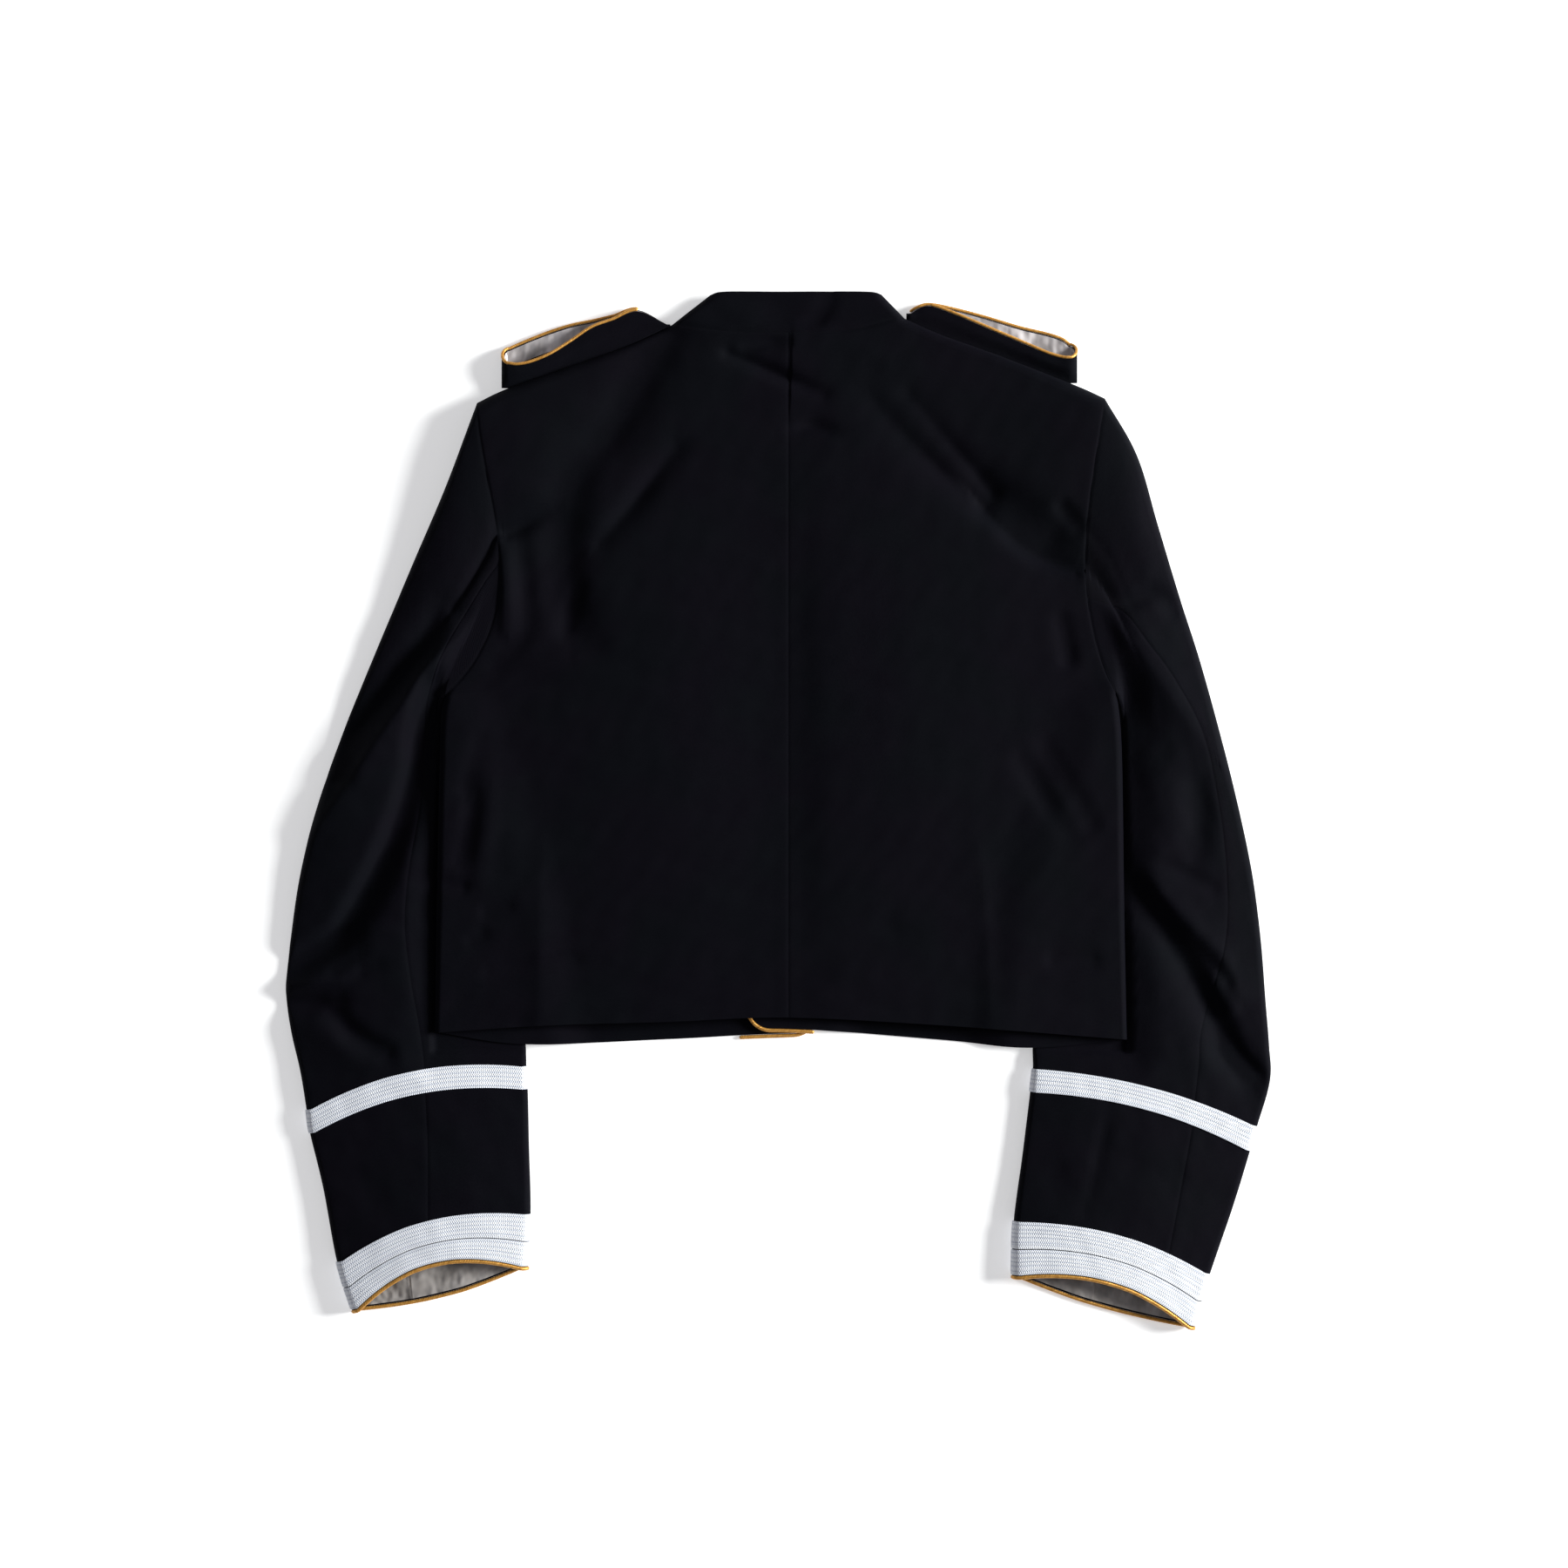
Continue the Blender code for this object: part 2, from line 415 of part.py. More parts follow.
class Sleeve:
    """A flattened sleeve through its table of sections."""

    def __init__(self, side):
        self.side = side
        self.rows = np.array(SECTIONS[side])

    def row(self, k):
        """The section's numbers at a whole or part section."""
        return Section(*spline_rows(self.rows, k)[0])

    def plan(self, k, shares, layer):
        """Plan points across section k, and the unit directions across it and towards the cuff."""
        row = self.row(k)
        outer = np.array([row.outer_x, row.outer_y])
        across = np.array([row.inner_x, row.inner_y]) - outer
        width = np.linalg.norm(across)
        across = across / width
        cuffward = self.side * np.array([-across[1], across[0]])
        bow = np.where(np.asarray(layer) >= 0, row.upper_bow, row.lower_bow)
        arch = 4 * shares * (1 - shares)
        leave = smoothstep(k / ARMHOLE_SECTIONS) * (1.0 - smoothstep((k - 3.0) / 3.0))
        skewed = arch * (1 + ARMHOLE_SKEW[self.side] * (1.0 - smoothstep(k)) * (2 * shares - 1))
        bulge = bow * (skewed * (1 - leave) + arch**2 * leave)
        xy = outer + (shares * width)[:, None] * across + bulge[:, None] * cuffward
        return xy, width, across, cuffward

    def body_gap(self, xy):
        """Distance in plan from the part of the body that lies on the sleeve."""
        line = SIDE_LINES[self.side].points
        edge_x = np.interp(xy[:, 1], line[:, 1], line[:, 0]) * self.side
        beside = np.maximum(xy[:, 0] * self.side - edge_x, 0.0)
        below = np.maximum(-164.0 - xy[:, 1], 0.0)
        above = np.maximum(xy[:, 1] - line[-1, 1], 0.0)
        return np.hypot(beside, np.maximum(below, above))

    def levels(self, k, shares, xy, layers):
        """Heights of the underside and the top of the sleeve's outer face."""
        row = self.row(k)
        low = np.full(len(shares), max(row.rise, 0.0))
        high = low + row.height * (EDGE_SHARE + (1 - EDGE_SHARE) * 4 * shares * (1 - shares))
        high = high + fold_relief(xy, SLEEVE_FOLDS[self.side])
        pressed = smoothstep((self.body_gap(xy) - PRESS_START) / PRESS_REACH)
        high = TUCK_HEIGHT + (high - TUCK_HEIGHT) * pressed
        high = np.maximum(high, low + 2 * CLOTH + 1.2)
        head = 1.0 - smoothstep(k / HEAD_SECTIONS)
        if head > 0:
            sewn, _, _, _ = self.plan(0.0, shares, layers)
            low, high = low * (1 - head) + ground(sewn) * head, high * (1 - head) + crown(sewn) * head
        return low, high

    def fold(self, k, end):
        """Point on the fold at one end of section k, and the outward direction there in plan."""
        step = 0.02 if end == 0.0 else -0.02
        points, _, _, _ = self.plan(k, np.array([end, end + step]), BACK)
        along = (points[0] - points[1]) / np.linalg.norm(points[0] - points[1])
        ahead, _, _, _ = self.plan(min(k + 0.05, LAST_SECTION), np.array([end]), BACK)
        behind, _, _, _ = self.plan(max(k - 0.05, 0.0), np.array([end]), BACK)
        run = (ahead - behind)[0]
        normal = np.array([run[1], -run[0]]) / np.linalg.norm(run)
        normal *= np.sign(normal @ along)
        sewn = 1.0 - smoothstep(k / TURN_SECTIONS)
        outward = along * sewn + normal * (1 - sewn)
        return points[0], outward / np.linalg.norm(outward)

    def cap_radius(self, k):
        """Half the height of the sleeve at its outer and its inner fold."""
        ends = np.array([0.0, 1.0])
        xy, _, _, _ = self.plan(k, ends, BACK)
        low, high = self.levels(k, ends, xy, np.full(2, BACK))
        return (high - low) / 2

    def surface(self, k, shares, layers):
        """Points and outward directions round section k. A layer of 0 is on a fold."""
        shares, layers = np.asarray(shares, float), np.asarray(layers)
        xy, width, _, cuffward = self.plan(k, shares, layers)
        low, high = self.levels(k, shares, xy, layers)
        middle, radius = (low + high) / 2, (high - low) / 2
        square = smoothstep(k / ARMHOLE_SECTIONS)
        near, outward = np.zeros(len(shares)), np.zeros_like(xy)
        moved = xy.copy()
        for end, reach in zip((0.0, 1.0), self.cap_radius(k)):
            corner, direction = self.fold(k, end)
            inset = np.abs(shares - end) * width
            cap = inset <= reach + 1e-9
            near = np.where(cap, np.clip(1.0 - (inset - FOLD_FLAT) / reach, 0.0, 1.0), near)
            outward = np.where(cap[:, None], direction, outward)
            squared = corner - direction * inset[:, None]
            moved = np.where(cap[:, None], xy * (1 - square) + squared * square, moved)
            rim, _, _, _ = self.plan(k, np.full(2, abs(end - reach / width)), np.array([BACK, FRONT]))
            shift = corner - direction * reach - np.where((layers >= 0)[:, None], rim[0], rim[1])
            fade = np.clip((np.abs(shares - 0.5) - 0.12) / (0.38 - reach / width), 0.0, 1.0)
            here = ~cap & (np.abs(shares - end) < 0.5)
            moved = np.where(here[:, None], xy + shift * (fade * square)[:, None], moved)
        level = np.sqrt(np.clip(1.0 - near**2, 0.0, 1.0))
        points = np.column_stack([moved, middle + layers * radius * level])
        facing = np.column_stack([outward * near[:, None], layers * level])
        facing /= np.linalg.norm(facing, axis=1, keepdims=True)
        points[:, :2] += cuffward * (SEAM_GAP / 2) * (1.0 - smoothstep(k / 2))
        return points, facing

    def armhole_shares(self, layer):
        """Shares of the armhole's points on one layer, from the underarm to the shoulder tip."""
        outer_cap, inner_cap, _ = self.cap_shares(0.0)
        row = self.row(0.0)
        seam = row.seam if layer == BACK else row.front_seam
        lower = (LOWER_INNER_STEPS, LOWER_OUTER_STEPS)
        steps = (UPPER_STEPS, UPPER_STEPS) if layer == BACK else lower
        inner = np.linspace(inner_cap[0], seam, steps[0] + 1)
        outer = np.linspace(seam, outer_cap[-1], steps[1] + 1)[1:]
        return np.concatenate([[1.0], inner_cap[:0:-1], inner, outer, outer_cap[-2::-1], [0.0]])

    def cap_shares(self, k):
        """Shares across the section that round off its outer and its inner fold."""
        _, width, _, _ = self.plan(k, np.array([0.0]), BACK)
        outer, inner = self.cap_radius(k) / width
        return CAP_SHARES * outer, 1 - CAP_SHARES[::-1] * inner, width

    def piece_columns(self, k, piece):
        """Shares and layers of the columns of one cut piece, from seam to seam."""
        outer_cap, inner_cap, width = self.cap_shares(k)
        row, gap = self.row(k), SEAM_GAP / 2 / width
        if piece == "top_sleeve":
            below = np.linspace(row.front_seam - gap, outer_cap[-1], LOWER_OUTER_STEPS + 1)
            above = np.linspace(outer_cap[-1], row.seam - gap, UPPER_STEPS + 1)[1:]
            shares = [below, outer_cap[-2::-1], [0.0], outer_cap, above]
        else:
            above = np.linspace(row.seam + gap, inner_cap[0], UPPER_STEPS + 1)
            below = np.linspace(inner_cap[0], row.front_seam + gap, LOWER_INNER_STEPS + 1)[1:]
            shares = [above, inner_cap[1:], [1.0], inner_cap[::-1], below]
        signs = (-1, -1, 0, 1, 1) if piece == "top_sleeve" else (1, 1, 0, -1, -1)
        layers = [np.full(len(part), sign) for part, sign in zip(shares, signs)]
        return np.concatenate(shares), np.concatenate(layers)

    def ring_columns(self, k):
        """Shares and layers all round a section, for what is sewn round the sleeve."""
        top_shares, top_layers = self.piece_columns(k, "top_sleeve")
        under_shares, under_layers = self.piece_columns(k, "under_sleeve")
        shares = np.concatenate([top_shares, under_shares[1:]])
        return shares, np.concatenate([top_layers, under_layers[1:]])

    def grid(self, sections, columns):
        """Points and directions for a list of sections."""
        found = [self.surface(k, *columns(k)) for k in sections]
        return np.array([points for points, _ in found]), np.array([facing for _, facing in found])


SLEEVES = {side: Sleeve(side) for side in (LEFT, RIGHT)}


def armhole_at(side, share):
    """Plan points of the armhole seam, from the underarm up to the shoulder tip."""
    xy, _, _, cuffward = SLEEVES[side].plan(0.0, 1.0 - np.asarray(share, float), BACK)
    return xy - cuffward * SEAM_GAP / 2


def patch(bottom, top, inner, outer, across, up):
    """Plan points of a grid between four lines, each a function of its share."""
    u, v = across[:, None, None], up[None, :, None]
    low, high = bottom(across)[:, None, :], top(across)[:, None, :]
    near, far = inner(up)[None, :, :], outer(up)[None, :, :]
    low_corners = (1 - u) * low[:1] + u * low[-1:]
    high_corners = (1 - u) * high[:1] + u * high[-1:]
    corners = (1 - v) * low_corners + v * high_corners
    return (1 - v) * low + v * high + (1 - u) * near + u * far - corners


def joined(first, second, split):
    """One line that follows first up to the share split, and second from there on."""

    def at(share):
        share = np.asarray(share, float)[:, None]
        early = first(np.clip(share[:, 0] / split, 0, 1))
        late = second(np.clip((share[:, 0] - split) / (1 - split), 0, 1))
        return np.where(share < split, early, late)

    return at


def stretch(outline, start, end):
    """Part of an outline as a function of share, running from one share of it to another."""
    return lambda share: outline.at(start + (end - start) * np.asarray(share, float))


def outer_edge(side):
    """The side seam and then the armhole, as one line up the panel."""
    return joined(SIDE_LINES[side].at, lambda share: armhole_at(side, share), UNDERARM_SHARE)


def panel_rows(side, layer):
    """Shares up a panel, with the armhole's points where the sleeve has its own."""
    armhole = 1.0 - SLEEVES[side].armhole_shares(layer)
    return np.concatenate([SIDE_ROWS, UNDERARM_SHARE + (1 - UNDERARM_SHARE) * armhole])


def panel_columns(layer):
    """Shares across a panel, with the neck's points where the collar has its own."""
    shoulder = NECK_SHARE + SHOULDER_COLUMNS * (1 - NECK_SHARE)
    return np.concatenate([NECK_COLUMNS[layer] * NECK_SHARE, shoulder])


def half_neck(side, layer):
    """The neck seam of one panel as a function of its share, from its inner edge to the shoulder."""
    neck = Outline(BACK_NECK if layer == BACK else FRONT_NECK)
    start_x = CENTRE_X + side * SEAM_GAP / 2 if layer == BACK else front_edge_x(side)
    return stretch(neck, neck.share_at_x(start_x), 0.0 if side == LEFT else 1.0)


def panel(side, layer, bottom):
    """Plan points of one panel above its bottom line."""
    neck, shoulder = half_neck(side, layer), SHOULDER_LINES[side]
    top = joined(neck, lambda share: shoulder.at(1 - share), NECK_SHARE)
    low, high = bottom(np.zeros(1))[0], top(np.zeros(1))[0]
    inner = lambda share: low + (high - low) * np.asarray(share, float)[:, None]
    return patch(bottom, top, inner, outer_edge(side), panel_columns(layer), panel_rows(side, layer))


def back_panel(side):
    """Grid of one half of the back, from the centre seam to the side seam and armhole."""
    hem = Outline(BACK_HEM)
    start = hem.share_at_x(CENTRE_X + side * SEAM_GAP / 2)
    return body_point(panel(side, BACK, stretch(hem, start, 0.0 if side == LEFT else 1.0)), BACK)


def front_edge_x(side):
    """Where a front's free edge runs: the two fronts lap across the middle."""
    return LEFT_FRONT_EDGE_X if side == LEFT else RIGHT_FRONT_EDGE_X


def front_bottom(side):
    """The front's lower edge: a round corner at the front edge, then the hem to the side seam."""
    hem = Outline(FRONT_HEM[side])
    start_x = front_edge_x(side) + side * HEM_CORNER_RADIUS
    hem_share = hem.share_at_x(start_x)
    turns = np.linspace(0.0, np.pi / 2, 7)
    centre = hem.at(hem_share) + np.array([0.0, HEM_CORNER_RADIUS])
    arc = centre + HEM_CORNER_RADIUS * np.column_stack([-side * np.cos(turns), -np.sin(turns)])
    rest = hem.at(np.linspace(hem_share, 0.0 if side == LEFT else 1.0, 40)[1:])
    return Outline(np.vstack([arc, rest]), steps=1)


def front_panel(side):
    """Grid of one front, from its free edge to the side seam and armhole."""
    xy = panel(side, FRONT, front_bottom(side).at)
    return body_point(xy, FRONT, lap_lift(xy) if side == RIGHT else 0.0)


def front_cord(side):
    """Centre line of the cord down one front edge, round its corner and a little way along the hem."""
    bottom = front_bottom(side)
    edge_x = front_edge_x(side)
    neck_y = Outline(FRONT_NECK).y_at(edge_x)
    run = (np.pi / 2 * HEM_CORNER_RADIUS + HEM_CORD_RUN[side]) / bottom.length
    low = bottom.at(np.linspace(0.0, run, 14))
    straight = np.linspace(neck_y - 2.0, low[0, 1], 12)[:-1]
    edge = np.vstack([np.column_stack([np.full(len(straight), edge_x), straight]), low])
    along = np.gradient(edge, axis=0)
    along /= np.linalg.norm(along, axis=1, keepdims=True)
    outward = side * np.column_stack([along[:, 1], -along[:, 0]])
    xy = edge + outward * (CORD_RADIUS + SEAM_GAP)
    over = LAP_CLEARANCE + CLOTH / 2 if side == RIGHT else CORD_RADIUS + TRIM_CLEARANCE
    return np.column_stack([xy, np.full(len(xy), over)])


def collar_point(back, xy, seam_xy, up):
    """Point and direction on the collar. up is 0 at the neck seam and 1 at the free edge."""
    layer = 1 if back else -1
    lift = 0.0 if back else np.where(seam_xy[..., 0] > CENTRE_X, lap_lift(seam_xy), 0.0)
    sewn, sewn_facing = body_point(seam_xy, layer, lift)
    fold_lines = [
        np.array([BACK_NECK[0], COLLAR_TOP_BACK[0]]),
        np.array([BACK_NECK[-1], COLLAR_TOP_BACK[-1]]),
    ]
    gaps, outwards = [], []
    for (foot, head), side in zip(fold_lines, (LEFT, RIGHT)):
        run = (head - foot) / np.linalg.norm(head - foot)
        outward = side * np.array([run[1], -run[0]])
        gaps.append(np.abs((xy - foot) @ outward))
        outwards.append(outward)
    left = gaps[0] < gaps[1]
    gap = np.where(left, gaps[0], gaps[1])
    outward = np.where(left[..., None], outwards[0], outwards[1])
    high = COLLAR_FOOT_HEIGHT + (COLLAR_EDGE_HEIGHT - COLLAR_FOOT_HEIGHT) * up
    radius = high / 2
    near = np.clip(1.0 - gap / radius, 0.0, 1.0)
    level = np.sqrt(1.0 - near**2)
    z = radius + layer * radius * level
    own = np.concatenate([xy, z[..., None]], axis=-1)
    facing = np.concatenate([outward * near[..., None], (layer * level)[..., None]], axis=-1)
    blend = (1.0 - smoothstep(up / 0.5))[..., None]
    z_blend = own[..., 2:] * (1 - blend) + sewn[..., 2:] * blend
    facing = facing * (1 - blend) + sewn_facing * blend
    facing /= np.maximum(np.linalg.norm(facing, axis=-1, keepdims=True), 1e-9)
    return np.concatenate([own[..., :2], z_blend], axis=-1), facing


def collar_grid():
    """The collar band from its left end at the centre front, round the back, to its right end."""
    grids = []
    for side, layer in ((LEFT, FRONT), (LEFT, BACK), (RIGHT, BACK), (RIGHT, FRONT)):
        shares = NECK_COLUMNS[layer]
        neck = half_neck(side, layer)
        top = Outline(COLLAR_TOP_BACK if layer == BACK else COLLAR_TOP_FRONT)
        if layer == FRONT:
            end_x = CENTRE_X + side * COLLAR_END_GAP / 2
            whole = neck(np.linspace(0, 1, 200))
            end = np.interp(end_x * side, whole[:, 0] * side, np.linspace(0, 1, 200))
            shares = np.append(end, shares[shares > end + 0.03])
        top_half = stretch(top, top.share_at_x(CENTRE_X), 0.0 if side == LEFT else 1.0)
        seam = neck(shares)
        along = neck(np.minimum(shares + 0.01, 1.0)) - neck(np.maximum(shares - 0.01, 0.0))
        upward = side * np.column_stack([-along[:, 1], along[:, 0]])
        low = seam + upward / np.linalg.norm(upward, axis=1, keepdims=True) * SEAM_GAP
        high = top_half((shares - shares[0]) / (1 - shares[0]))
        if layer == FRONT:
            high[0, 0] = low[0, 0]
        order = slice(None) if (side == RIGHT) == (layer == BACK) else slice(None, None, -1)
        up = COLLAR_ROWS[None, :] * np.ones((len(shares), 1))
        xy = low[:, None] + (high - low)[:, None] * up[..., None]
        seam_xy = seam[:, None] + np.zeros_like(xy)
        points, facing = collar_point(layer == BACK, xy, seam_xy, up)
        grids.append((points[order], facing[order]))
    left_front, left_back, right_back, right_front = grids
    for back, front, end in ((left_back, left_front, 0), (right_back, right_front, -1)):
        back[0][end, :, 2] = (back[0][end, :, 2] + front[0][-1 - end, :, 2]) / 2
        back[1][end, :, 2] = 0.0
    parts = [
        [left_front[i][:-1] for i in (0, 1)],
        left_back,
        [right_back[i][1:] for i in (0, 1)],
        [right_front[i][1:] for i in (0, 1)],
    ]
    points, facing = (np.concatenate([part[i] for part in parts]) for i in (0, 1))
    return points, facing / np.linalg.norm(facing, axis=-1, keepdims=True)


class ShoulderLoop:
    """A flattened tube sewn into the shoulder seam, with its open edge towards the collar's side."""

    def __init__(self, side):
        self.side = side
        self.rows = np.array(LOOP_ROWS[side])
        self.last = len(self.rows) - 1

    def path(self, near_end, far_end):
        """Row positions and turns round the loop: in along the near wall, round the tip, out again."""
        tip = [(0.0, np.radians(angle)) for angle in LOOP_TURNS]
        near = [(float(k), np.pi / 2) for k in range(near_end, 0, -1)]
        far = [(float(k), -np.pi / 2) for k in range(1, far_end + 1)]
        return near + tip + far

    def whole_path(self):
        """The path of the wall, closed round the neck end too."""
        neck = [(float(self.last), np.radians(angle)) for angle in LOOP_TURNS[::-1]]
        return self.path(self.last, self.last) + neck

    def point(self, k, angle, up):
        """Point and outward direction at a row, a turn round the loop and a share of its height."""
        row = LoopRow(*spline_rows(self.rows, k)[0])
        base_y = SHOULDER_LINES[self.side].y_at(row.x) + LOOP_SEAM_GAP
        radius = LOOP_BASE_RADIUS + (row.radius - LOOP_BASE_RADIUS) * smoothstep(up / 0.7)
        sine, cosine = np.sin(angle), np.cos(angle)
        free_y = row.far_y + (row.near_y - row.far_y) * (1 + sine) / 2
        away = self.side if k < 1 else -self.side
        x = row.x + away * radius * cosine
        y = base_y + (free_y - base_y) * up
        seam = np.array([[row.x, base_y]])
        middle = float((ground(seam) + crown(seam))[0]) / 2
        return np.array([x, y, middle + radius * sine]), np.array([away * cosine, 0.0, sine])

    def grid(self, heights):
        """Points and directions of the closed wall at a few shares of its height."""
        found = [[self.point(k, angle, up) for up in heights] for k, angle in self.whole_path()]
        points = np.array([[point for point, _ in column] for column in found])
        facing = np.array([[turned for _, turned in column] for column in found])
        return points, facing

    def cord(self):
        """Centre line of the cord along the free edge, from the near wall round to the far one."""
        found = [self.point(k, angle, 1.0) for k, angle in self.path(*LOOP_CORD_ROWS[self.side])]
        edge = np.array([point - turned * LOOP_CLOTH / 2 for point, turned in found])
        facing = np.array([turned for _, turned in found])
        rise = np.cross(facing, np.gradient(edge, axis=0))
        rise /= np.linalg.norm(rise, axis=1, keepdims=True)
        rise *= np.sign(rise[:, 1:2])
        return edge + rise * (LOOP_CORD_RADIUS + SEAM_GAP)


def principled(name, colour, roughness):
    """A plain material for the solid."""
    material = bpy.data.materials.new(name)
    material.use_nodes = True
    shader = material.node_tree.nodes["Principled BSDF"]
    shader.inputs["Base Color"].default_value = (*colour, 1.0)
    shader.inputs["Roughness"].default_value = roughness
    shader.inputs["Metallic"].default_value = 0.0
    return material


def cloth_wall(name, outer, inner, material, collection, ring=False):
    """One wall of cloth between two matching grids of points, closed round its edges."""
    columns, rows = outer.shape[:2]
    mesh = bpy.data.meshes.new(name)
    built = bmesh.new()
    grids = [[[built.verts.new(p * MM) for p in column] for column in face] for face in (outer, inner)]
    last = columns if ring else columns - 1
    for i in range(last):
        j = (i + 1) % columns
        for r in range(rows - 1):
            for face in grids:
                built.faces.new([face[i][r], face[j][r], face[j][r + 1], face[i][r + 1]])
        for r in (0, rows - 1):
            built.faces.new([grids[0][i][r], grids[0][j][r], grids[1][j][r], grids[1][i][r]])
    for i in () if ring else (0, columns - 1):
        for r in range(rows - 1):
            built.faces.new([grids[0][i][r], grids[0][i][r + 1], grids[1][i][r + 1], grids[1][i][r]])
    bmesh.ops.recalc_face_normals(built, faces=built.faces)
    built.to_mesh(mesh)
    built.free()
    mesh.shade_smooth()
    mesh.set_sharp_from_angle(angle=np.radians(50.0))
    mesh.materials.append(material)
    wall = bpy.data.objects.new(name, mesh)
    collection.objects.link(wall)
    return wall


def cord_along(name, line, radius, material, collection):
    """A round cord along a line of points, with its ends closed."""
    curve = bpy.data.curves.new(name, "CURVE")
    curve.dimensions = "3D"
    curve.bevel_depth = radius * MM
    curve.bevel_resolution = 2
    curve.use_fill_caps = True
    spline = curve.splines.new("POLY")
    spline.points.add(len(line) - 1)
    for point, place in zip(spline.points, line):
        point.co = (*(place * MM), 1.0)
    curve.materials.append(material)
    cord = bpy.data.objects.new(name, curve)
    collection.objects.link(cord)
    return cord


def build_body(materials, collection):
    """The two halves of the back, the two fronts and the cords on their edges."""
    for side, name in SIDE_NAMES.items():
        for part, grid in (("back", back_panel(side)), ("front", front_panel(side))):
            points, facing = grid
            cloth_wall(f"{part}_{name}", points, points - facing * CLOTH, materials["cloth"], collection)
        cord_along(f"front_cord_{name}", front_cord(side), CORD_RADIUS, materials["cord"], collection)


def build_collar(materials, collection):
    """The stand collar, one band open at the centre front."""
    points, facing = collar_grid()
    cloth_wall("collar", points, points - facing * COLLAR_CLOTH, materials["cloth"], collection)


def cuff_cord(sleeve):
    """Centre line of the cord round a cuff, whose ends meet at the sleeve's front seam."""
    shares, layers = sleeve.ring_columns(LAST_SECTION)
    points, facing = sleeve.surface(LAST_SECTION, shares, layers)
    _, _, _, cuffward = sleeve.plan(LAST_SECTION, shares, layers)
    line = points - facing * CUFF_CORD_INSET
    line[:, :2] += cuffward * (CORD_RADIUS + SEAM_GAP)
    return line


def build_sleeve(side, materials, collection):
    """A two-piece sleeve with its braids, its cuff cord and the lining that shows in the cuff."""
    sleeve, name = SLEEVES[side], SIDE_NAMES[side]
    for piece in ("top_sleeve", "under_sleeve"):
        points, facing = sleeve.grid(SHELL_SECTIONS, lambda k: sleeve.piece_columns(k, piece))
        inner = points - facing * CLOTH
        cloth_wall(f"{piece}_{name}", points, inner, materials["cloth"], collection)
    for band, sections in BRAID_BANDS.items():
        points, facing = sleeve.grid(sections, sleeve.ring_columns)
        inside, outside = points + facing * SEAM_GAP, points + facing * (SEAM_GAP + BRAID)
        inside, outside = inside.transpose(1, 0, 2), outside.transpose(1, 0, 2)
        cloth_wall(f"{band}_{name}", outside, inside, materials["braid"], collection, ring=True)
    points, facing = sleeve.grid(CUFF_LINING_SECTIONS, sleeve.ring_columns)
    outside = (points - facing * (CLOTH + SEAM_GAP)).transpose(1, 0, 2)
    inside = (points - facing * (CLOTH + SEAM_GAP + LINING)).transpose(1, 0, 2)
    cloth_wall(f"cuff_lining_{name}", outside, inside, materials["lining"], collection, ring=True)
    cord_along(f"cuff_cord_{name}", cuff_cord(sleeve), CORD_RADIUS, materials["cord"], collection)


def build_loop(side, materials, collection):
    """A shoulder loop: its wall, the lining that shows inside it and the cord on its edge."""
    loop, name = ShoulderLoop(side), SIDE_NAMES[side]
    points, facing = loop.grid(LOOP_HEIGHT_SHARES)
    inner = points - facing * LOOP_CLOTH
    cloth_wall(f"shoulder_loop_{name}", points, inner, materials["cloth"], collection, ring=True)
    points, facing = loop.grid(LOOP_LINING_HEIGHTS)
    outside = points - facing * (LOOP_CLOTH + SEAM_GAP)
    inside = outside - facing * LOOP_LINING
    cloth_wall(f"loop_lining_{name}", outside, inside, materials["lining"], collection, ring=True)
    cord_along(f"loop_cord_{name}", loop.cord(), LOOP_CORD_RADIUS, materials["cord"], collection)


def main():
    """Build the whole jacket in a collection of its own."""
    for old in list(bpy.data.objects):
        bpy.data.objects.remove(old)
    collection = bpy.data.collections.new("jacket")
    bpy.context.scene.collection.children.link(collection)
    materials = {
        "cloth": principled("black_twill", (0.012, 0.012, 0.015), 0.85),
        "braid": principled("white_braid", (0.78, 0.80, 0.85), 0.6),
        "cord": principled("gold_cord", (0.62, 0.33, 0.05), 0.45),
        "lining": principled("grey_satin", (0.42, 0.39, 0.37), 0.35),
    }
    build_body(materials, collection)
    build_collar(materials, collection)
    for side in (LEFT, RIGHT):
        build_sleeve(side, materials, collection)
        build_loop(side, materials, collection)


main()
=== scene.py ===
"""The looks of a cropped black jacket with a stand collar, laid face down.

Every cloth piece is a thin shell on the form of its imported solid, sampled finely, with its creases
placed one by one. Sizes are in millimetres until a mesh is made. The frame is the solid's: +X towards
the wearer's right, +Y towards the collar, +Z up out of the jacket's back, z = 0 where it lies.
"""

import logging
import math
from dataclasses import dataclass, field
from enum import IntEnum
from functools import partial, reduce
from typing import Callable

import bpy
import numpy as np
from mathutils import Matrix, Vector


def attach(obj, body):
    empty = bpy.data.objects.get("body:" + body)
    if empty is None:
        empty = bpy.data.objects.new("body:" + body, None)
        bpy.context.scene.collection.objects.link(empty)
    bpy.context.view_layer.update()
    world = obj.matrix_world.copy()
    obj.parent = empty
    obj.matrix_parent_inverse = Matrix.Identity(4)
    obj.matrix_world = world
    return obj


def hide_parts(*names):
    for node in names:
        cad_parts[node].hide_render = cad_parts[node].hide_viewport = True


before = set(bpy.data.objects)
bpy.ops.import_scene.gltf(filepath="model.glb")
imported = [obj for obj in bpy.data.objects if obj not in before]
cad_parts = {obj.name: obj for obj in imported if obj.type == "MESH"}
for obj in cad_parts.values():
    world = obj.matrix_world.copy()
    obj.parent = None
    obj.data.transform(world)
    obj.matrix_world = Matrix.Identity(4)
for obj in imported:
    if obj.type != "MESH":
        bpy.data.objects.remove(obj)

LOG = logging.getLogger("jacket")
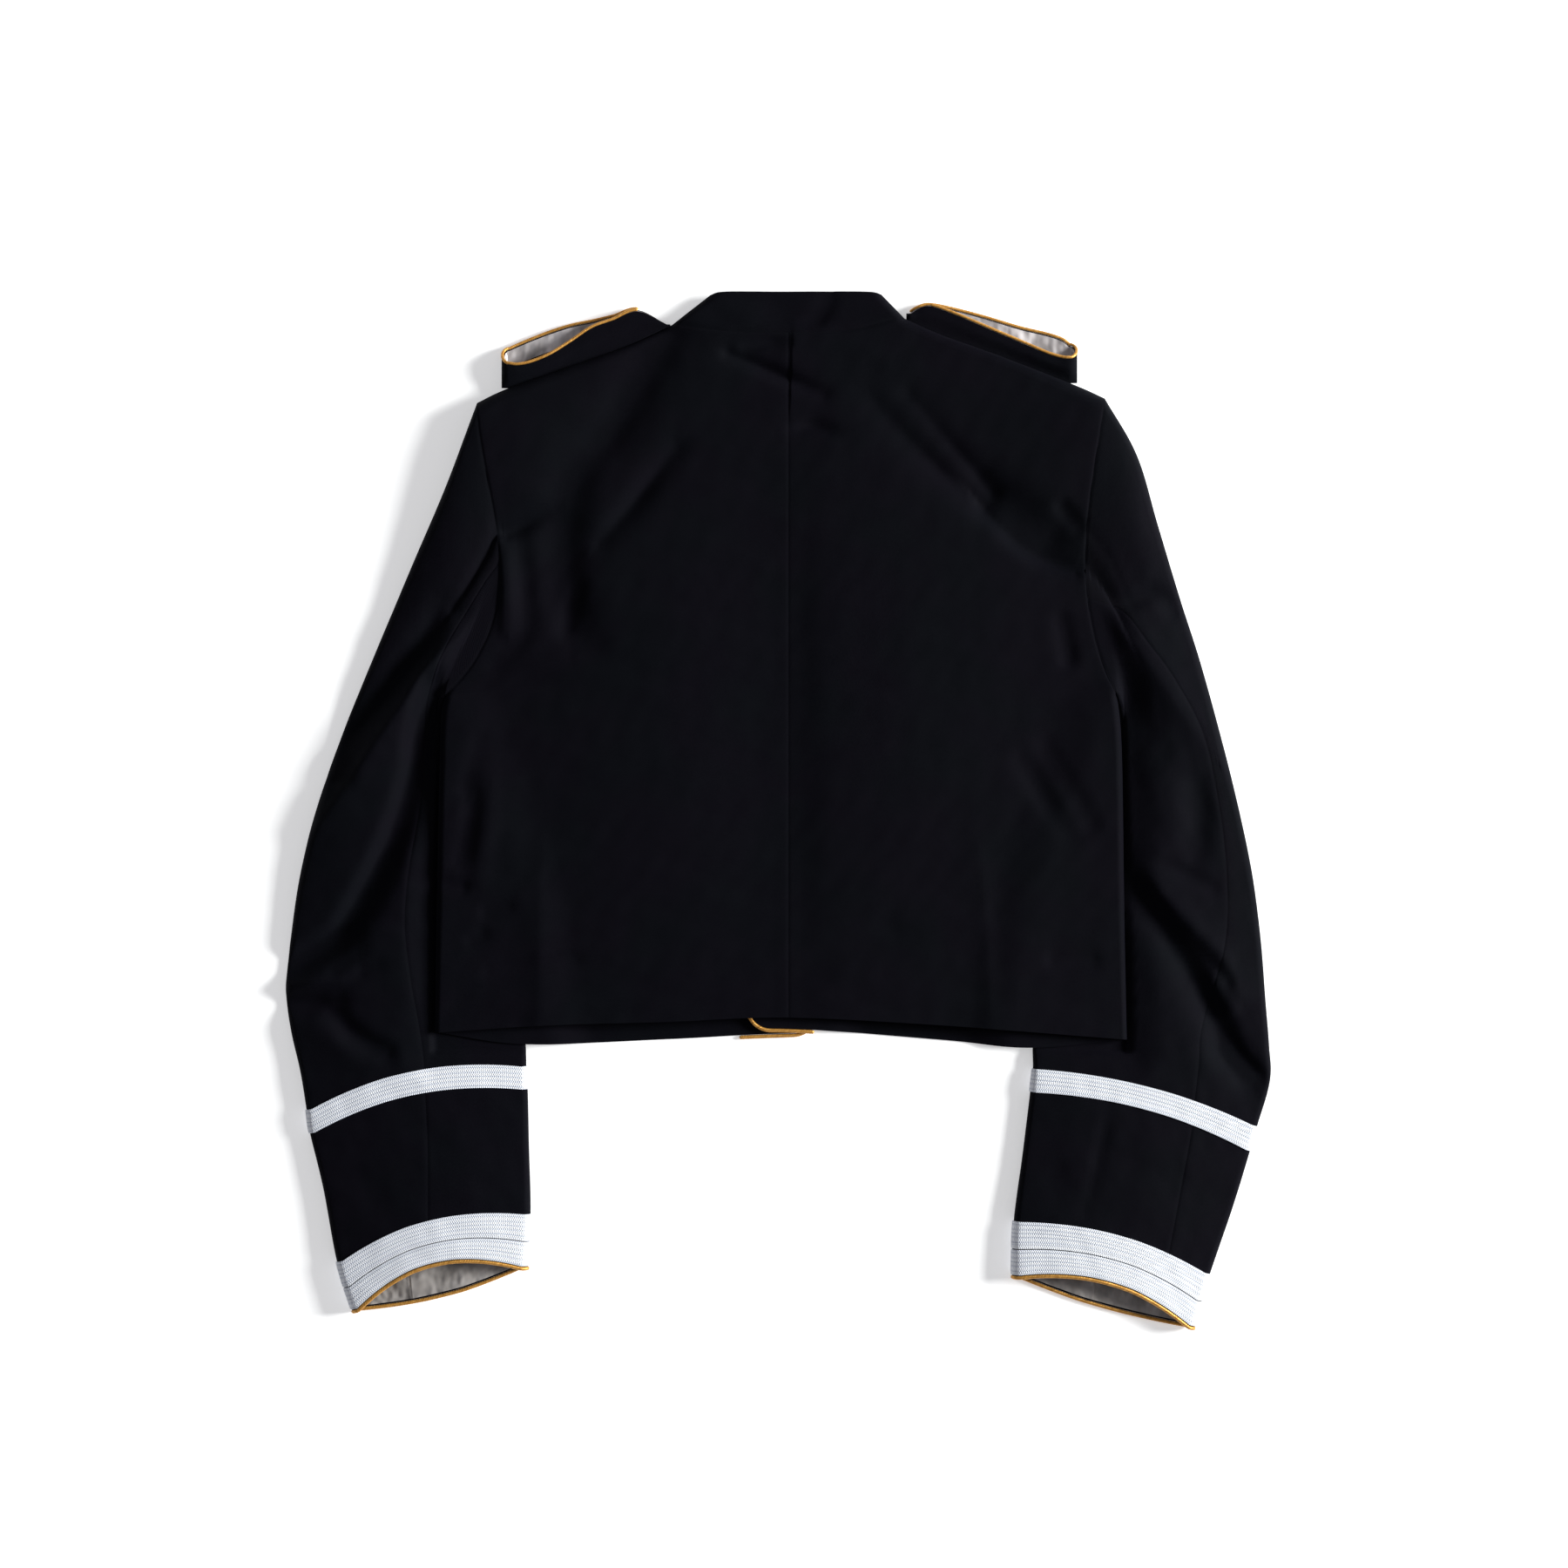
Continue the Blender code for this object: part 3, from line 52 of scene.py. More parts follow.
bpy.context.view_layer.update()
MM = 0.001
UV_UNIT = 10.0

Grid = np.ndarray
Line = Callable[[np.ndarray], np.ndarray]
Surface = tuple[np.ndarray, np.ndarray]
Socket = bpy.types.NodeSocket
Material = bpy.types.Material
Piece = bpy.types.Object


class Side(IntEnum):
    """The wearer's side. Its value is the sign of X."""

    LEFT = -1
    RIGHT = 1

    @property
    def word(self) -> str:
        """The side's name in a piece's name."""
        return self.name.lower()

    @property
    def end_share(self) -> float:
        """This side's end of a line that runs from the wearer's left to the right."""
        return 0.0 if self == Side.LEFT else 1.0


class Layer(IntEnum):
    """Which layer of the laid jacket a point is on. Its value is the sign of Z."""

    FRONT = -1
    BACK = 1


@dataclass(frozen=True)
class Stock:
    """Thicknesses of the cloth, braid and cord, and the gap at a seam."""

    cloth: float = 1.5
    collar: float = 2.0
    loop: float = 1.2
    lining: float = 0.9
    loop_lining: float = 0.7
    braid: float = 1.0
    cord_radius: float = 1.4
    loop_cord_radius: float = 1.1
    gap: float = 0.04


STOCK = Stock()


def smoothstep(share: Grid) -> Grid:
    """A ramp from 0 to 1 with level ends."""
    share = np.clip(share, 0.0, 1.0)
    return share * share * (3.0 - 2.0 * share)


def bell(distance: Grid, width: float) -> Grid:
    """A soft bump, 1 at no distance and fading over the width."""
    return np.exp(-((distance / width) ** 2))


def unit(vectors: Grid, least: float = 0.0) -> Grid:
    """Vectors made 1 long.

    Args:
        vectors: an array whose last axis is each vector.
        least: the smallest length that a vector is divided by.

    Returns:
        The unit vectors.
    """
    return vectors / np.maximum(np.linalg.norm(vectors, axis=-1, keepdims=True), least)


def raised(plan: Grid, heights: Grid) -> Grid:
    """Plan points or directions with their heights as a third number."""
    return np.concatenate([plan, heights[..., None]], axis=-1)


def run_lengths(line: Grid) -> Grid:
    """How far along a line each of its points is, from 0 at the first."""
    return np.concatenate([[0.0], np.cumsum(np.linalg.norm(np.diff(line, axis=0), axis=-1))])


def read_along(line: Grid, runs: Grid, places: Grid, period: float | None = None) -> Grid:
    """Points of a line at places along it.

    Args:
        line: its points.
        runs: how far along it each of them is.
        places: where to read it.
        period: the length of a closed line.

    Returns:
        One point for each place.
    """
    return np.stack([np.interp(places, runs, column, period=period) for column in line.T], axis=-1)


def face_corners(columns: int, rows: int) -> tuple[tuple[Grid, Grid], ...]:
    """Column and row numbers of the four corners of every face of a grid."""
    i, j = (numbers.ravel() for numbers in np.meshgrid(np.arange(columns), np.arange(rows), indexing="ij"))
    return (i, j), (i + 1, j), (i + 1, j + 1), (i, j + 1)


def spline_rows(rows: Grid, positions: Grid) -> Grid:
    """Rows of numbers read at fractional row positions.

    Args:
        rows: a table with one row for each known position.
        positions: where to read it, counted in rows.

    Returns:
        One row for each position, on a smooth curve through all the known ones.
    """
    rows = np.asarray(rows, float)
    padded = np.vstack([2 * rows[0] - rows[1], rows, 2 * rows[-1] - rows[-2]])
    positions = np.clip(np.atleast_1d(positions).astype(float), 0, len(rows) - 1)
    start = np.minimum(positions.astype(int), len(rows) - 2)
    t = (positions - start)[:, None]
    p0, p1, p2, p3 = (padded[start + i] for i in range(4))
    cubic = -p0 + 3 * p1 - 3 * p2 + p3
    square = 2 * p0 - 5 * p1 + 4 * p2 - p3
    return 0.5 * (2 * p1 + (p2 - p0) * t + square * t**2 + cubic * t**3)


def dense_shares(count: int, low: float = 0.0, high: float = 0.0, reach: float = 0.03) -> Grid:
    """Shares from 0 to 1 that crowd towards one or both ends.

    Args:
        count: how many shares.
        low: how strongly they crowd at 0.
        high: how strongly they crowd at 1.
        reach: how far from an end the crowding goes.

    Returns:
        The shares in order, with both ends.
    """
    fine = np.linspace(0, 1, 2001)
    density = 1 + low * np.exp(-fine / reach) + high * np.exp(-(1 - fine) / reach)
    total = np.concatenate([[0.0], np.cumsum((density[1:] + density[:-1]) / 2)])
    return np.interp(np.linspace(0, total[-1], count), total, fine)


class Outline:
    """A smooth line in plan through a few points, read by its share of length."""

    block = 8000

    def __init__(self, points: Grid, steps: int = 10) -> None:
        """Args: points: the known points. steps: how finely each stretch is divided."""
        count = (len(points) - 1) * steps + 1
        self.points = spline_rows(points, np.linspace(0, len(points) - 1, count))
        runs = run_lengths(self.points)
        self.length = float(runs[-1])
        self.shares = runs / self.length

    def at(self, share: Grid) -> Grid:
        """Plan points at shares of the line's length."""
        return read_along(self.points, self.shares, share)

    def stretch(self, start: float, end: float) -> Line:
        """The part from one share of the length to another, as a line of its own."""
        return lambda share: self.at(start + (end - start) * np.asarray(share, float))

    def share_at_x(self, x: float) -> float:
        """The share of length at which the line passes x."""
        order = np.argsort(self.points[:, 0])
        return float(np.interp(x, self.points[order, 0], self.shares[order]))

    def y_at(self, x: float) -> float:
        """How far up the line lies at x."""
        order = np.argsort(self.points[:, 0])
        return float(np.interp(x, self.points[order, 0], self.points[order, 1]))

    def nearest(self, xy: Grid) -> tuple[Grid, Grid]:
        """Distance from each plan point to the line, and the nearest point on it, a block at a time.

        Args:
            xy: plan points, in an array of any shape whose last axis is x and y.

        Returns:
            The distances and the nearest points.
        """
        flat = xy.reshape(-1, 2)
        start = self.points[:-1]
        step = self.points[1:] - start
        square = (step * step).sum(-1)
        gaps, feet = np.empty(len(flat)), np.empty_like(flat)
        for low in range(0, len(flat), self.block):
            part = slice(low, low + self.block)
            some = flat[part]
            offset = some[:, None, :] - start
            along = np.clip((offset * step).sum(-1) / square, 0.0, 1.0)
            foot = start + along[..., None] * step
            far = np.hypot(*np.moveaxis(some[:, None, :] - foot, -1, 0))
            best = far.argmin(axis=-1)
            rows = np.arange(len(some))
            gaps[part], feet[part] = far[rows, best], foot[rows, best]
        return gaps.reshape(xy.shape[:-1]), feet.reshape(xy.shape)


@dataclass(frozen=True)
class Crease:
    """One soft ridge or trough that runs through a few points.

    The path's points are x, y and the height there, below 0 for a trough. The widths are its reach to
    the left and to the right of the way it runs, so that one flank can be steeper than the other. The
    power is 2 for a soft crease and less for a crisp one. Its crest is rounded over a small distance,
    and beyond a few widths it adds nothing.
    """

    name: str
    path: tuple[tuple[float, float, float], ...]
    left: float
    right: float
    power: float = 2.0
    crest: float = 0.8
    widths: float = 2.8
    steps: int = 6

    def height(self, xy: Grid) -> Grid:
        """Height that the crease adds at plan points.

        Args:
            xy: plan points, in an array whose last axis is x and y.

        Returns:
            The heights, 0 far from the crease.
        """
        total = np.zeros(xy.shape[:-1])
        last = len(self.path) - 1
        line = spline_rows(self.path, np.linspace(0, last, last * self.steps + 1))
        reach = self.widths * max(self.left, self.right)
        low, high = line[:, :2].min(0) - reach, line[:, :2].max(0) + reach
        close = ((xy >= low) & (xy <= high)).all(-1)
        if not close.any():
            return total
        some = xy[close]
        start, step = line[:-1], np.diff(line, axis=0)
        offset = some[:, None, :] - start[:, :2]
        square = (step[:, :2] ** 2).sum(-1)
        along = np.clip((offset * step[:, :2]).sum(-1) / square, 0.0, 1.0)
        gap = offset - along[..., None] * step[:, :2]
        far = np.hypot(gap[..., 0], gap[..., 1])
        best = far.argmin(-1)
        rows = np.arange(len(some))
        gap, far, along = gap[rows, best], far[rows, best], along[rows, best]
        turn = step[best, 0] * gap[:, 1] - step[best, 1] * gap[:, 0]
        width = np.where(turn > 0, self.left, self.right)
        height = start[best, 2] + along * step[best, 2]
        near = (np.hypot(far, self.crest) - self.crest) / width
        total[close] = height * np.exp(-(near**self.power))
        return total


def relief(xy: Grid, creases: tuple[Crease, ...]) -> Grid:
    """Height that a table of creases adds at plan points."""
    return sum(crease.height(xy) for crease in creases)


@dataclass(frozen=True)
class Ripple:
    """Slight unevenness of laid cloth: a few long waves that cross each other and sway a little."""

    seed: int
    height: float
    shortest: float = 14.0
    longest: float = 60.0
    waves: int = 14
    sway: float = 6.0
    sway_length: float = 37.0

    def at(self, xy: Grid) -> Grid:
        """Height of the unevenness.

        Args:
            xy: plan points.

        Returns:
            The heights.
        """
        source = np.random.default_rng(self.seed)
        total = np.zeros(xy.shape[:-1])
        for _ in range(self.waves):
            angle, phase, pick = source.uniform(0, math.tau, 3)
            size = self.shortest * (self.longest / self.shortest) ** (pick / math.tau)
            way = math.cos(angle) * xy[..., 0] + math.sin(angle) * xy[..., 1]
            bend = self.sway * np.sin(xy[..., 1] / self.sway_length + phase)
            total += np.sin((way + bend) * math.tau / size + phase) * (size / self.longest)
        return total * self.height / math.sqrt(self.waves)


@dataclass(frozen=True)
class Section:
    """One section across a sleeve, from its outer to its inner fold.

    A bow is how far the section's middle swings towards the cuff on that side, the rise is how far its
    underside is above the surface, and the seams are shares across it.
    """

    outer_x: float
    outer_y: float
    inner_x: float
    inner_y: float
    upper_bow: float
    lower_bow: float
    height: float
    rise: float
    seam: float
    front_seam: float


@dataclass(frozen=True)
class LoopRow:
    """One row of a shoulder loop: its free edges in plan and half its thickness."""

    x: float
    near_y: float
    far_y: float
    radius: float

# Each sleeve's sections from the armhole to the cuff, with their numbers in Section's order.
LEFT_SECTIONS: tuple[Section, ...] = tuple(Section(*row) for row in (
    (-206.1, 279.9, -228.3, 78.3, -26.5, -26.5, 17, 0, 0.53, 0.86),
    (-228, 222, -228.5, 74.2, -20, -20, 16, 0, 0.53, 0.85),
    (-250, 170.9, -229.1, 69, -13, -13, 15.5, 0, 0.58, 0.84),
    (-268, 128.5, -230, 61.5, -7, -7, 15, 0, 0.68, 0.82),
    (-285, 87.8, -229.4, 51.5, -2, -2, 15, 0, 0.77, 0.80),
    (-300.3, 49.5, -225.5, 32, 0, 0, 15, 0, 0.77, 0.77),
    (-317.1, 0.3, -214.5, 7.5, 0, 0, 15, 0, 0.7, 0.73),
    (-328.2, -44.7, -201, -29, 0, 0, 15, 0, 0.6, 0.69),
    (-334.5, -86.7, -190.5, -66, 0, 0, 14.5, 0, 0.55, 0.65),
    (-338.1, -122.7, -180.5, -111, -2, -2, 14, 0, 0.55, 0.60),
    (-334.5, -150.9, -175.3, -140, -6, -4, 13, 0.4, 0.55, 0.56),
    (-327.9, -179.7, -173.1, -161.7, -10, -7, 12.5, 1.1, 0.55, 0.52),
    (-323.7, -205.5, -172.5, -175.5, -12, -9, 12, 1.5, 0.555, 0.48),
    (-321.3, -221.7, -171.6, -191.1, -12, -9, 12, 1.5, 0.55, 0.46),
    (-312.3, -258.9, -170.7, -230.7, -12, -9, 12.5, 1.5, 0.53, 0.42),
    (-302.7, -309.9, -169.5, -276.9, -13, -4, 14, 1.5, 0.5, 0.37),
    (-292.5, -342.9, -171.3, -312.9, -18.5, 4.5, 15, 1.5, 0.49, 0.34),
))
RIGHT_SECTIONS: tuple[Section, ...] = tuple(Section(*row) for row in (
    (224.7, 282.9, 233.1, 78.3, -17.5, -17.5, 17, 0, 0.67, 0.84),
    (246.9, 243.9, 233.2, 74.2, -14, -14, 16, 0, 0.61, 0.85),
    (261.3, 196.5, 233.7, 69, -9, -9, 15.5, 0, 0.5, 0.86),
    (275.7, 149.1, 234.8, 61.5, -5, -5, 15, 0, 0.42, 0.87),
    (290.1, 104.1, 234.3, 51.5, -2, -2, 15, 0, 0.3, 0.88),
    (303.3, 56.7, 230.5, 32, 0, 0, 15, 0, 0.16, 0.88),
    (315.9, 6.9, 218, 7.5, 0, 0, 15, 0, 0.14, 0.87),
    (326.1, -41.7, 203.3, -29, 0, 0, 15, 0, 0.15, 0.86),
    (332.1, -86.7, 192.2, -66, 0, 0, 14.5, 0, 0.175, 0.84),
    (335.7, -131.7, 181.5, -116, -2, -2, 14, 0, 0.25, 0.81),
    (338.1, -161.7, 177.3, -143.7, -4, -4, 13, 0.4, 0.3, 0.78),
    (338.7, -185.7, 175.5, -162.9, -6, -6, 12.5, 1.1, 0.31, 0.74),
    (329.7, -216.9, 175.5, -177.3, -8, -8, 12, 1.5, 0.295, 0.70),
    (324.9, -233.7, 173.7, -192.9, -9, -9, 12, 1.5, 0.28, 0.67),
    (312.9, -272.7, 168.3, -236.7, -9.5, -9, 12.5, 1.5, 0.26, 0.63),
    (297.3, -318.3, 162.3, -281.7, -10, -4, 14, 1.5, 0.23, 0.58),
    (287.1, -354.3, 161.1, -318.9, -14.5, 3, 15, 1.5, 0.22, 0.55),
))

# Seam lines of the body in plan.
SIDE_SEAM = {
    Side.LEFT: ((-234.9, -152.1), (-233.7, -71.7), (-231.9, 18.3), (-230.7, 60.3), (-228.3, 78.3)),
    Side.RIGHT: ((239.7, -156.9), (237.9, -71.7), (236.7, 18.3), (235.5, 54.3), (233.1, 78.3)),
}
SHOULDER_SEAM = {
    Side.LEFT: ((-206.1, 279.9), (-187.5, 288.9), (-151.5, 302.1), (-106.5, 318.3), (-72.3, 333.9)),
    Side.RIGHT: ((224.7, 282.9), (204.9, 291.9), (153.3, 312.3), (115.0, 326.0), (87.3, 338.1)),
}
BACK_NECK = ((-72.3, 333.9), (-37.5, 329.1), (7.5, 327.9), (50.0, 329.6), (87.3, 338.1))
FRONT_NECK = (
    (-72.3, 333.9), (-64.0, 313.0), (-40.0, 294.0), (7.5, 284.7),
    (55.0, 295.0), (79.0, 315.0), (87.3, 338.1),
)
BACK_HEM = (
    (-234.9, -152.1), (-160.5, -147.3), (-78.3, -144.9),
    (7.5, -141.9), (114.9, -147.3), (239.7, -156.9),
)
FRONT_HEM = {
    Side.LEFT: ((-234.9, -152.1), (-172.5, -160.5), (-78.3, -157.5), (-20.0, -154.4), (25.5, -152.8)),
    Side.RIGHT: ((-19.5, -149.4), (25.5, -150.8), (114.9, -158.0), (174.9, -162.9), (239.7, -156.9)),
}
HEM_CORD_RUN = {Side.LEFT: 37.0, Side.RIGHT: 30.0}
COLLAR_TOP_BACK = ((-46.5, 354.0), (-36.0, 356.1), (7.5, 356.1), (60.0, 356.1), (71.7, 354.4))
COLLAR_TOP_FRONT = (
    (-46.5, 354.0), (-38.0, 336.0), (-20.0, 321.0), (7.5, 315.0),
    (38.0, 321.0), (60.0, 336.0), (71.7, 354.4),
)

LOOP_ROWS = {
    Side.LEFT: (
        LoopRow(-184, 305.6, 316.8, 5.4),
        LoopRow(-178.5, 305, 319.4, 5.4),
        LoopRow(-169, 306.8, 323.4, 5.4),
        LoopRow(-155.7, 312.3, 328.5, 5),
        LoopRow(-141.3, 321.3, 332.9, 4.6),
        LoopRow(-126.9, 330.9, 335.9, 4.2),
        LoopRow(-112.5, 336.3, 339.3, 3.8),
        LoopRow(-95.7, 342.6, 344.1, 3.3),
        LoopRow(-76, 333.8, 334.1, 2.4),
    ),
    Side.RIGHT: (
        LoopRow(200.4, 309.6, 319.6, 5.4),
        LoopRow(195, 310, 323.6, 5.4),
        LoopRow(184, 313.4, 327.2, 5.2),
        LoopRow(165.9, 321.3, 331.5, 4.8),
        LoopRow(141.9, 331.5, 338.7, 4.4),
        LoopRow(120.9, 340.5, 344.1, 3.9),
        LoopRow(104.7, 346.2, 347.1, 3.5),
        LoopRow(97, 344.4, 345.3, 3.2),
        LoopRow(91.5, 341, 342, 3),
    ),
}

# Creases measured on the back, as x, y and height, then the width to the left and to the right.
BACK_CREASES: tuple[Crease, ...] = (
    Crease("across the yoke", ((-33.6, 313, -2.85), (0.4, 299, -5.13), (31.4, 286, -2)), 4.5, 3.5, 1.4),
    Crease("beside it", ((-21.4, 318, -0.95), (-6.4, 321, -1.9), (6.6, 321, -0.76)), 3.5, 3.5),
    Crease("dimple on the centre seam",
           ((10.3, 262, -1.42), (25.3, 263, -3.99), (42.3, 259, -1.14)), 5, 3.5, 1.4),
    Crease("broad band from the neck to the left chest",
           ((-77.4, 326, -3.65), (-112.4, 264, -6.08), (-138.4, 232, -4.86), (-147.4, 179, -5.47),
            (-141.4, 125, -2.43)), 15, 17),
    Crease("left chest diagonal",
           ((-121.8, 184, -2.85), (-94.8, 216, -5.42), (-68.8, 249, -2.28)), 6, 8, 1.4),
    Crease("left chest lower", ((-137.4, 152, -1.52), (-145.4, 125, -1.9)), 6, 6),
    Crease("into the left armhole",
           ((-185.6, 190, -5.85), (-170.6, 197, -5.05), (-154.6, 206, -1.33)), 8, 5, 1.4),
    Crease("ridge along the left armhole",
           ((-187.4, 184, 1.52), (-185.4, 155, 3.42), (-185.4, 125, 1.9)), 7, 5),
    Crease("trough beside the ridge",
           ((-175.8, 184, -1.36), (-172.8, 150, -2.33), (-172.8, 125, -1.94),
            (-192.8, 100, -1.16)), 7, 7),
    Crease("left side soft", ((-150.8, 144, -1.33), (-128.8, 117, -1.52)), 12, 12),
    Crease("right shoulder long diagonal",
           ((62, 285, -1.6), (88, 256, -3.2), (114, 231, -5), (141, 208, -5.4)), 8, 10, 1.4),
    Crease("right shoulder short diagonal",
           ((90, 285, -1.4), (120, 250, -2.6), (148, 219, -3.4)), 6, 6, 1.4),
    Crease("hollow by the right armhole",
           ((140, 209, -3.2), (164, 184, -6.2), (184, 172, -7), (204, 166, -4)), 15, 5, 1.5),
    Crease("hollow's upper part", ((142, 226, -2.6), (164, 206, -4.6), (186, 192, -3.6)), 14, 14),
    Crease("right armhole nick", ((195, 208, -2.09), (206, 195, -1.52)), 5, 5),
    Crease("right armhole low nick", ((194.6, 130, -1.52), (199.6, 104, -2.09)), 6, 6),
    Crease("left side pucker a", ((-231.6, -50, -0.98), (-215.6, -52, -1.58)), 4, 4),
    Crease("left side pucker b", ((-199.6, -69, -1.34), (-184.6, -66, -1.1)), 4, 4),
    Crease("left side pucker c", ((-209.6, -88, -1.1), (-202.6, -84, -1.34)), 4, 4),
    Crease("left side pucker d", ((-197, -109, -0.91), (-179, -106, -1.67), (-142, -100, -0.76)), 4, 6),
    Crease("left side diagonal a", ((-203.8, 47, -0.91), (-212.8, 16, -1.71)), 8, 6),
    Crease("left side diagonal b", ((-209.8, 0, -1.71), (-216.8, -34, -0.91)), 8, 6),
    Crease("left side ridge", ((-197.8, 10, 1.06), (-200.8, -18, 1.99), (-203.8, -46, 0.93)), 8, 6),
    Crease("edge of the left sleeve below",
           ((-159, -6, 0.28), (-162, -48, 1.05), (-162, -102, 1.19), (-164, -147, 0.77)), 9, 6, 1.4),
    Crease("edge of the right sleeve below",
           ((136, -12, 0.21), (141, -54, 0.98), (144, -102, 1.12), (146, -156, 0.77)), 6, 9, 1.4),
    Crease("right side diagonal a", ((168, 34, -1.22), (183, 9, -2.58), (199, -15, -1.06)), 8, 7),
    Crease("right side diagonal b", ((183.2, 44, -1.06), (214.2, -9, -1.82)), 7, 7),
    Crease("right side low", ((189.6, -102, -1.52), (214.6, -102, -1.52)), 6, 6),
    Crease("right of the centre seam", ((28, -102, -0.95), (77, -83, -1.33)), 10, 10),
    Crease("valley down the centre seam",
           ((8, 262, -0.9), (6, 200, -1.7), (7, 120, -3.0), (7, 20, -3.2), (9, -60, -2.4),
            (8, -138, -1.3)), 19, 62),
    Crease("left of the centre", ((-56, 138, 0.57), (-62, 18, 0.95), (-56, -102, 0.38)), 45, 45),
    Crease("right of the centre", ((82, 138, 0.76), (88, 48, 1.14), (76, -72, 0.57)), 40, 40),
)
COLLAR_CREASES: tuple[Crease, ...] = (
    Crease("collar diagonal", ((36, 350, -1.2), (24, 329, -1.8)), 5, 8),
    Crease("collar hollow", ((-17, 351, -0.6), (2, 341, -1.8), (22, 332, -1)), 12, 12),
    Crease("collar left", ((-52, 347, -0.6), (-35, 328, -1.2)), 9, 9),
)
LEFT_SLEEVE_CREASES: tuple[Crease, ...] = (
    Crease("long crest",
           ((-196, 131, 3.29), (-220, 116, 6.91), (-238, 99, 7.57), (-253, 76, 7.57), (-267, 57, 7.24),
            (-291, 22, 6.25), (-322, -20, 3.29)), 19, 7, 1.35),
    Crease("trough above the crest",
           ((-214.8, 138, -2.67), (-229.8, 140, -5), (-241.8, 117, -6.34), (-262.8, 90, -6.67),
            (-295.8, 48, -3.33)), 7, 9, 1.6),
    Crease("nick", ((-313.1, 22, -2.69), (-292.1, 22, -1.34)), 3.2, 3.2),
    Crease("deep valley along the body",
           ((-236, 85, -4.6), (-246, 54, -7.6), (-249, 28, -9.2), (-261, -9, -9.4), (-279, -48, -9.2),
            (-300, -82, -9.2), (-322, -97, -8.2), (-343, -109, -5.6)), 12, 6.5),
    Crease("wrinkle in the valley a", ((-281.4, -79, 1.61), (-263.4, -81, 0.57)), 3.5, 4.5),
    Crease("wrinkle in the valley b", ((-305.2, -110, -1.61), (-287.2, -99, -0.92)), 3, 4),
    Crease("wrinkle in the valley c", ((-285.2, -109, -1.49), (-273.2, -106, -0.69)), 3, 4),
    Crease("thin ridge at the elbow",
           ((-336, -120, 2.69), (-318, -117, 4.19), (-299, -115, 1.49)), 4.5, 3.5, 1.5),
    Crease("hollow under the ridge",
           ((-337.4, -132, -5.08), (-320.4, -132, -5.68), (-302.4, -130, -2.39)), 6, 8, 1.6),
    Crease("trough down the forearm",
           ((-302.3, -140, -2.58), (-290.3, -154, -3.86), (-268.3, -165, -2.25)), 6, 7),
    Crease("crest beside it", ((-326.8, -145, 0.92), (-302.8, -157, 1.49), (-280.8, -175, 0.92)), 8, 8),
    Crease("pull at the seam", ((-207.4, 180, -0.92), (-199.4, 166, -1.61)), 4, 4),
    Crease("soft under the cap", ((-210.4, 233, -1.03), (-202.4, 196, -1.84)), 7, 7),
    Crease("light on the cap", ((-214.3, 261, 0.8), (-212.3, 229, 1.03)), 6, 7),
    Crease("sliver at the underarm",
           ((-207, 110, 1.38), (-219, 98, 2.53), (-227, 84, 1.38)), 3.5, 3, 1.5),
    Crease("upper sleeve soft a",
           ((-258.6, 222, 0.23), (-266.6, 174, 0.92), (-282.6, 126, 0.46)), 14, 12),
    Crease("upper sleeve soft b",
           ((-229.2, 198, -0.46), (-245.2, 168, -1.03), (-261.1, 138, -0.8)), 10, 8),
    Crease("outer edge dent a", ((-300.4, 90, -0.57), (-286.4, 102, -1.26)), 7, 7),
    Crease("outer edge dent b", ((-336.4, -33, -0.92), (-314.4, -18, -1.38)), 6, 8),
    Crease("forearm soft", ((-204.9, -162, 0.23), (-222.9, -114, 0.69), (-228.9, -60, 0.23)), 14, 14),
    Crease("cuff soft a", ((-287.7, -240, -0.57), (-275.7, -264, -0.92)), 12, 9),
    Crease("cuff soft b", ((-221.8, -222, 0.34), (-211.8, -258, 0.57)), 12, 10),
)
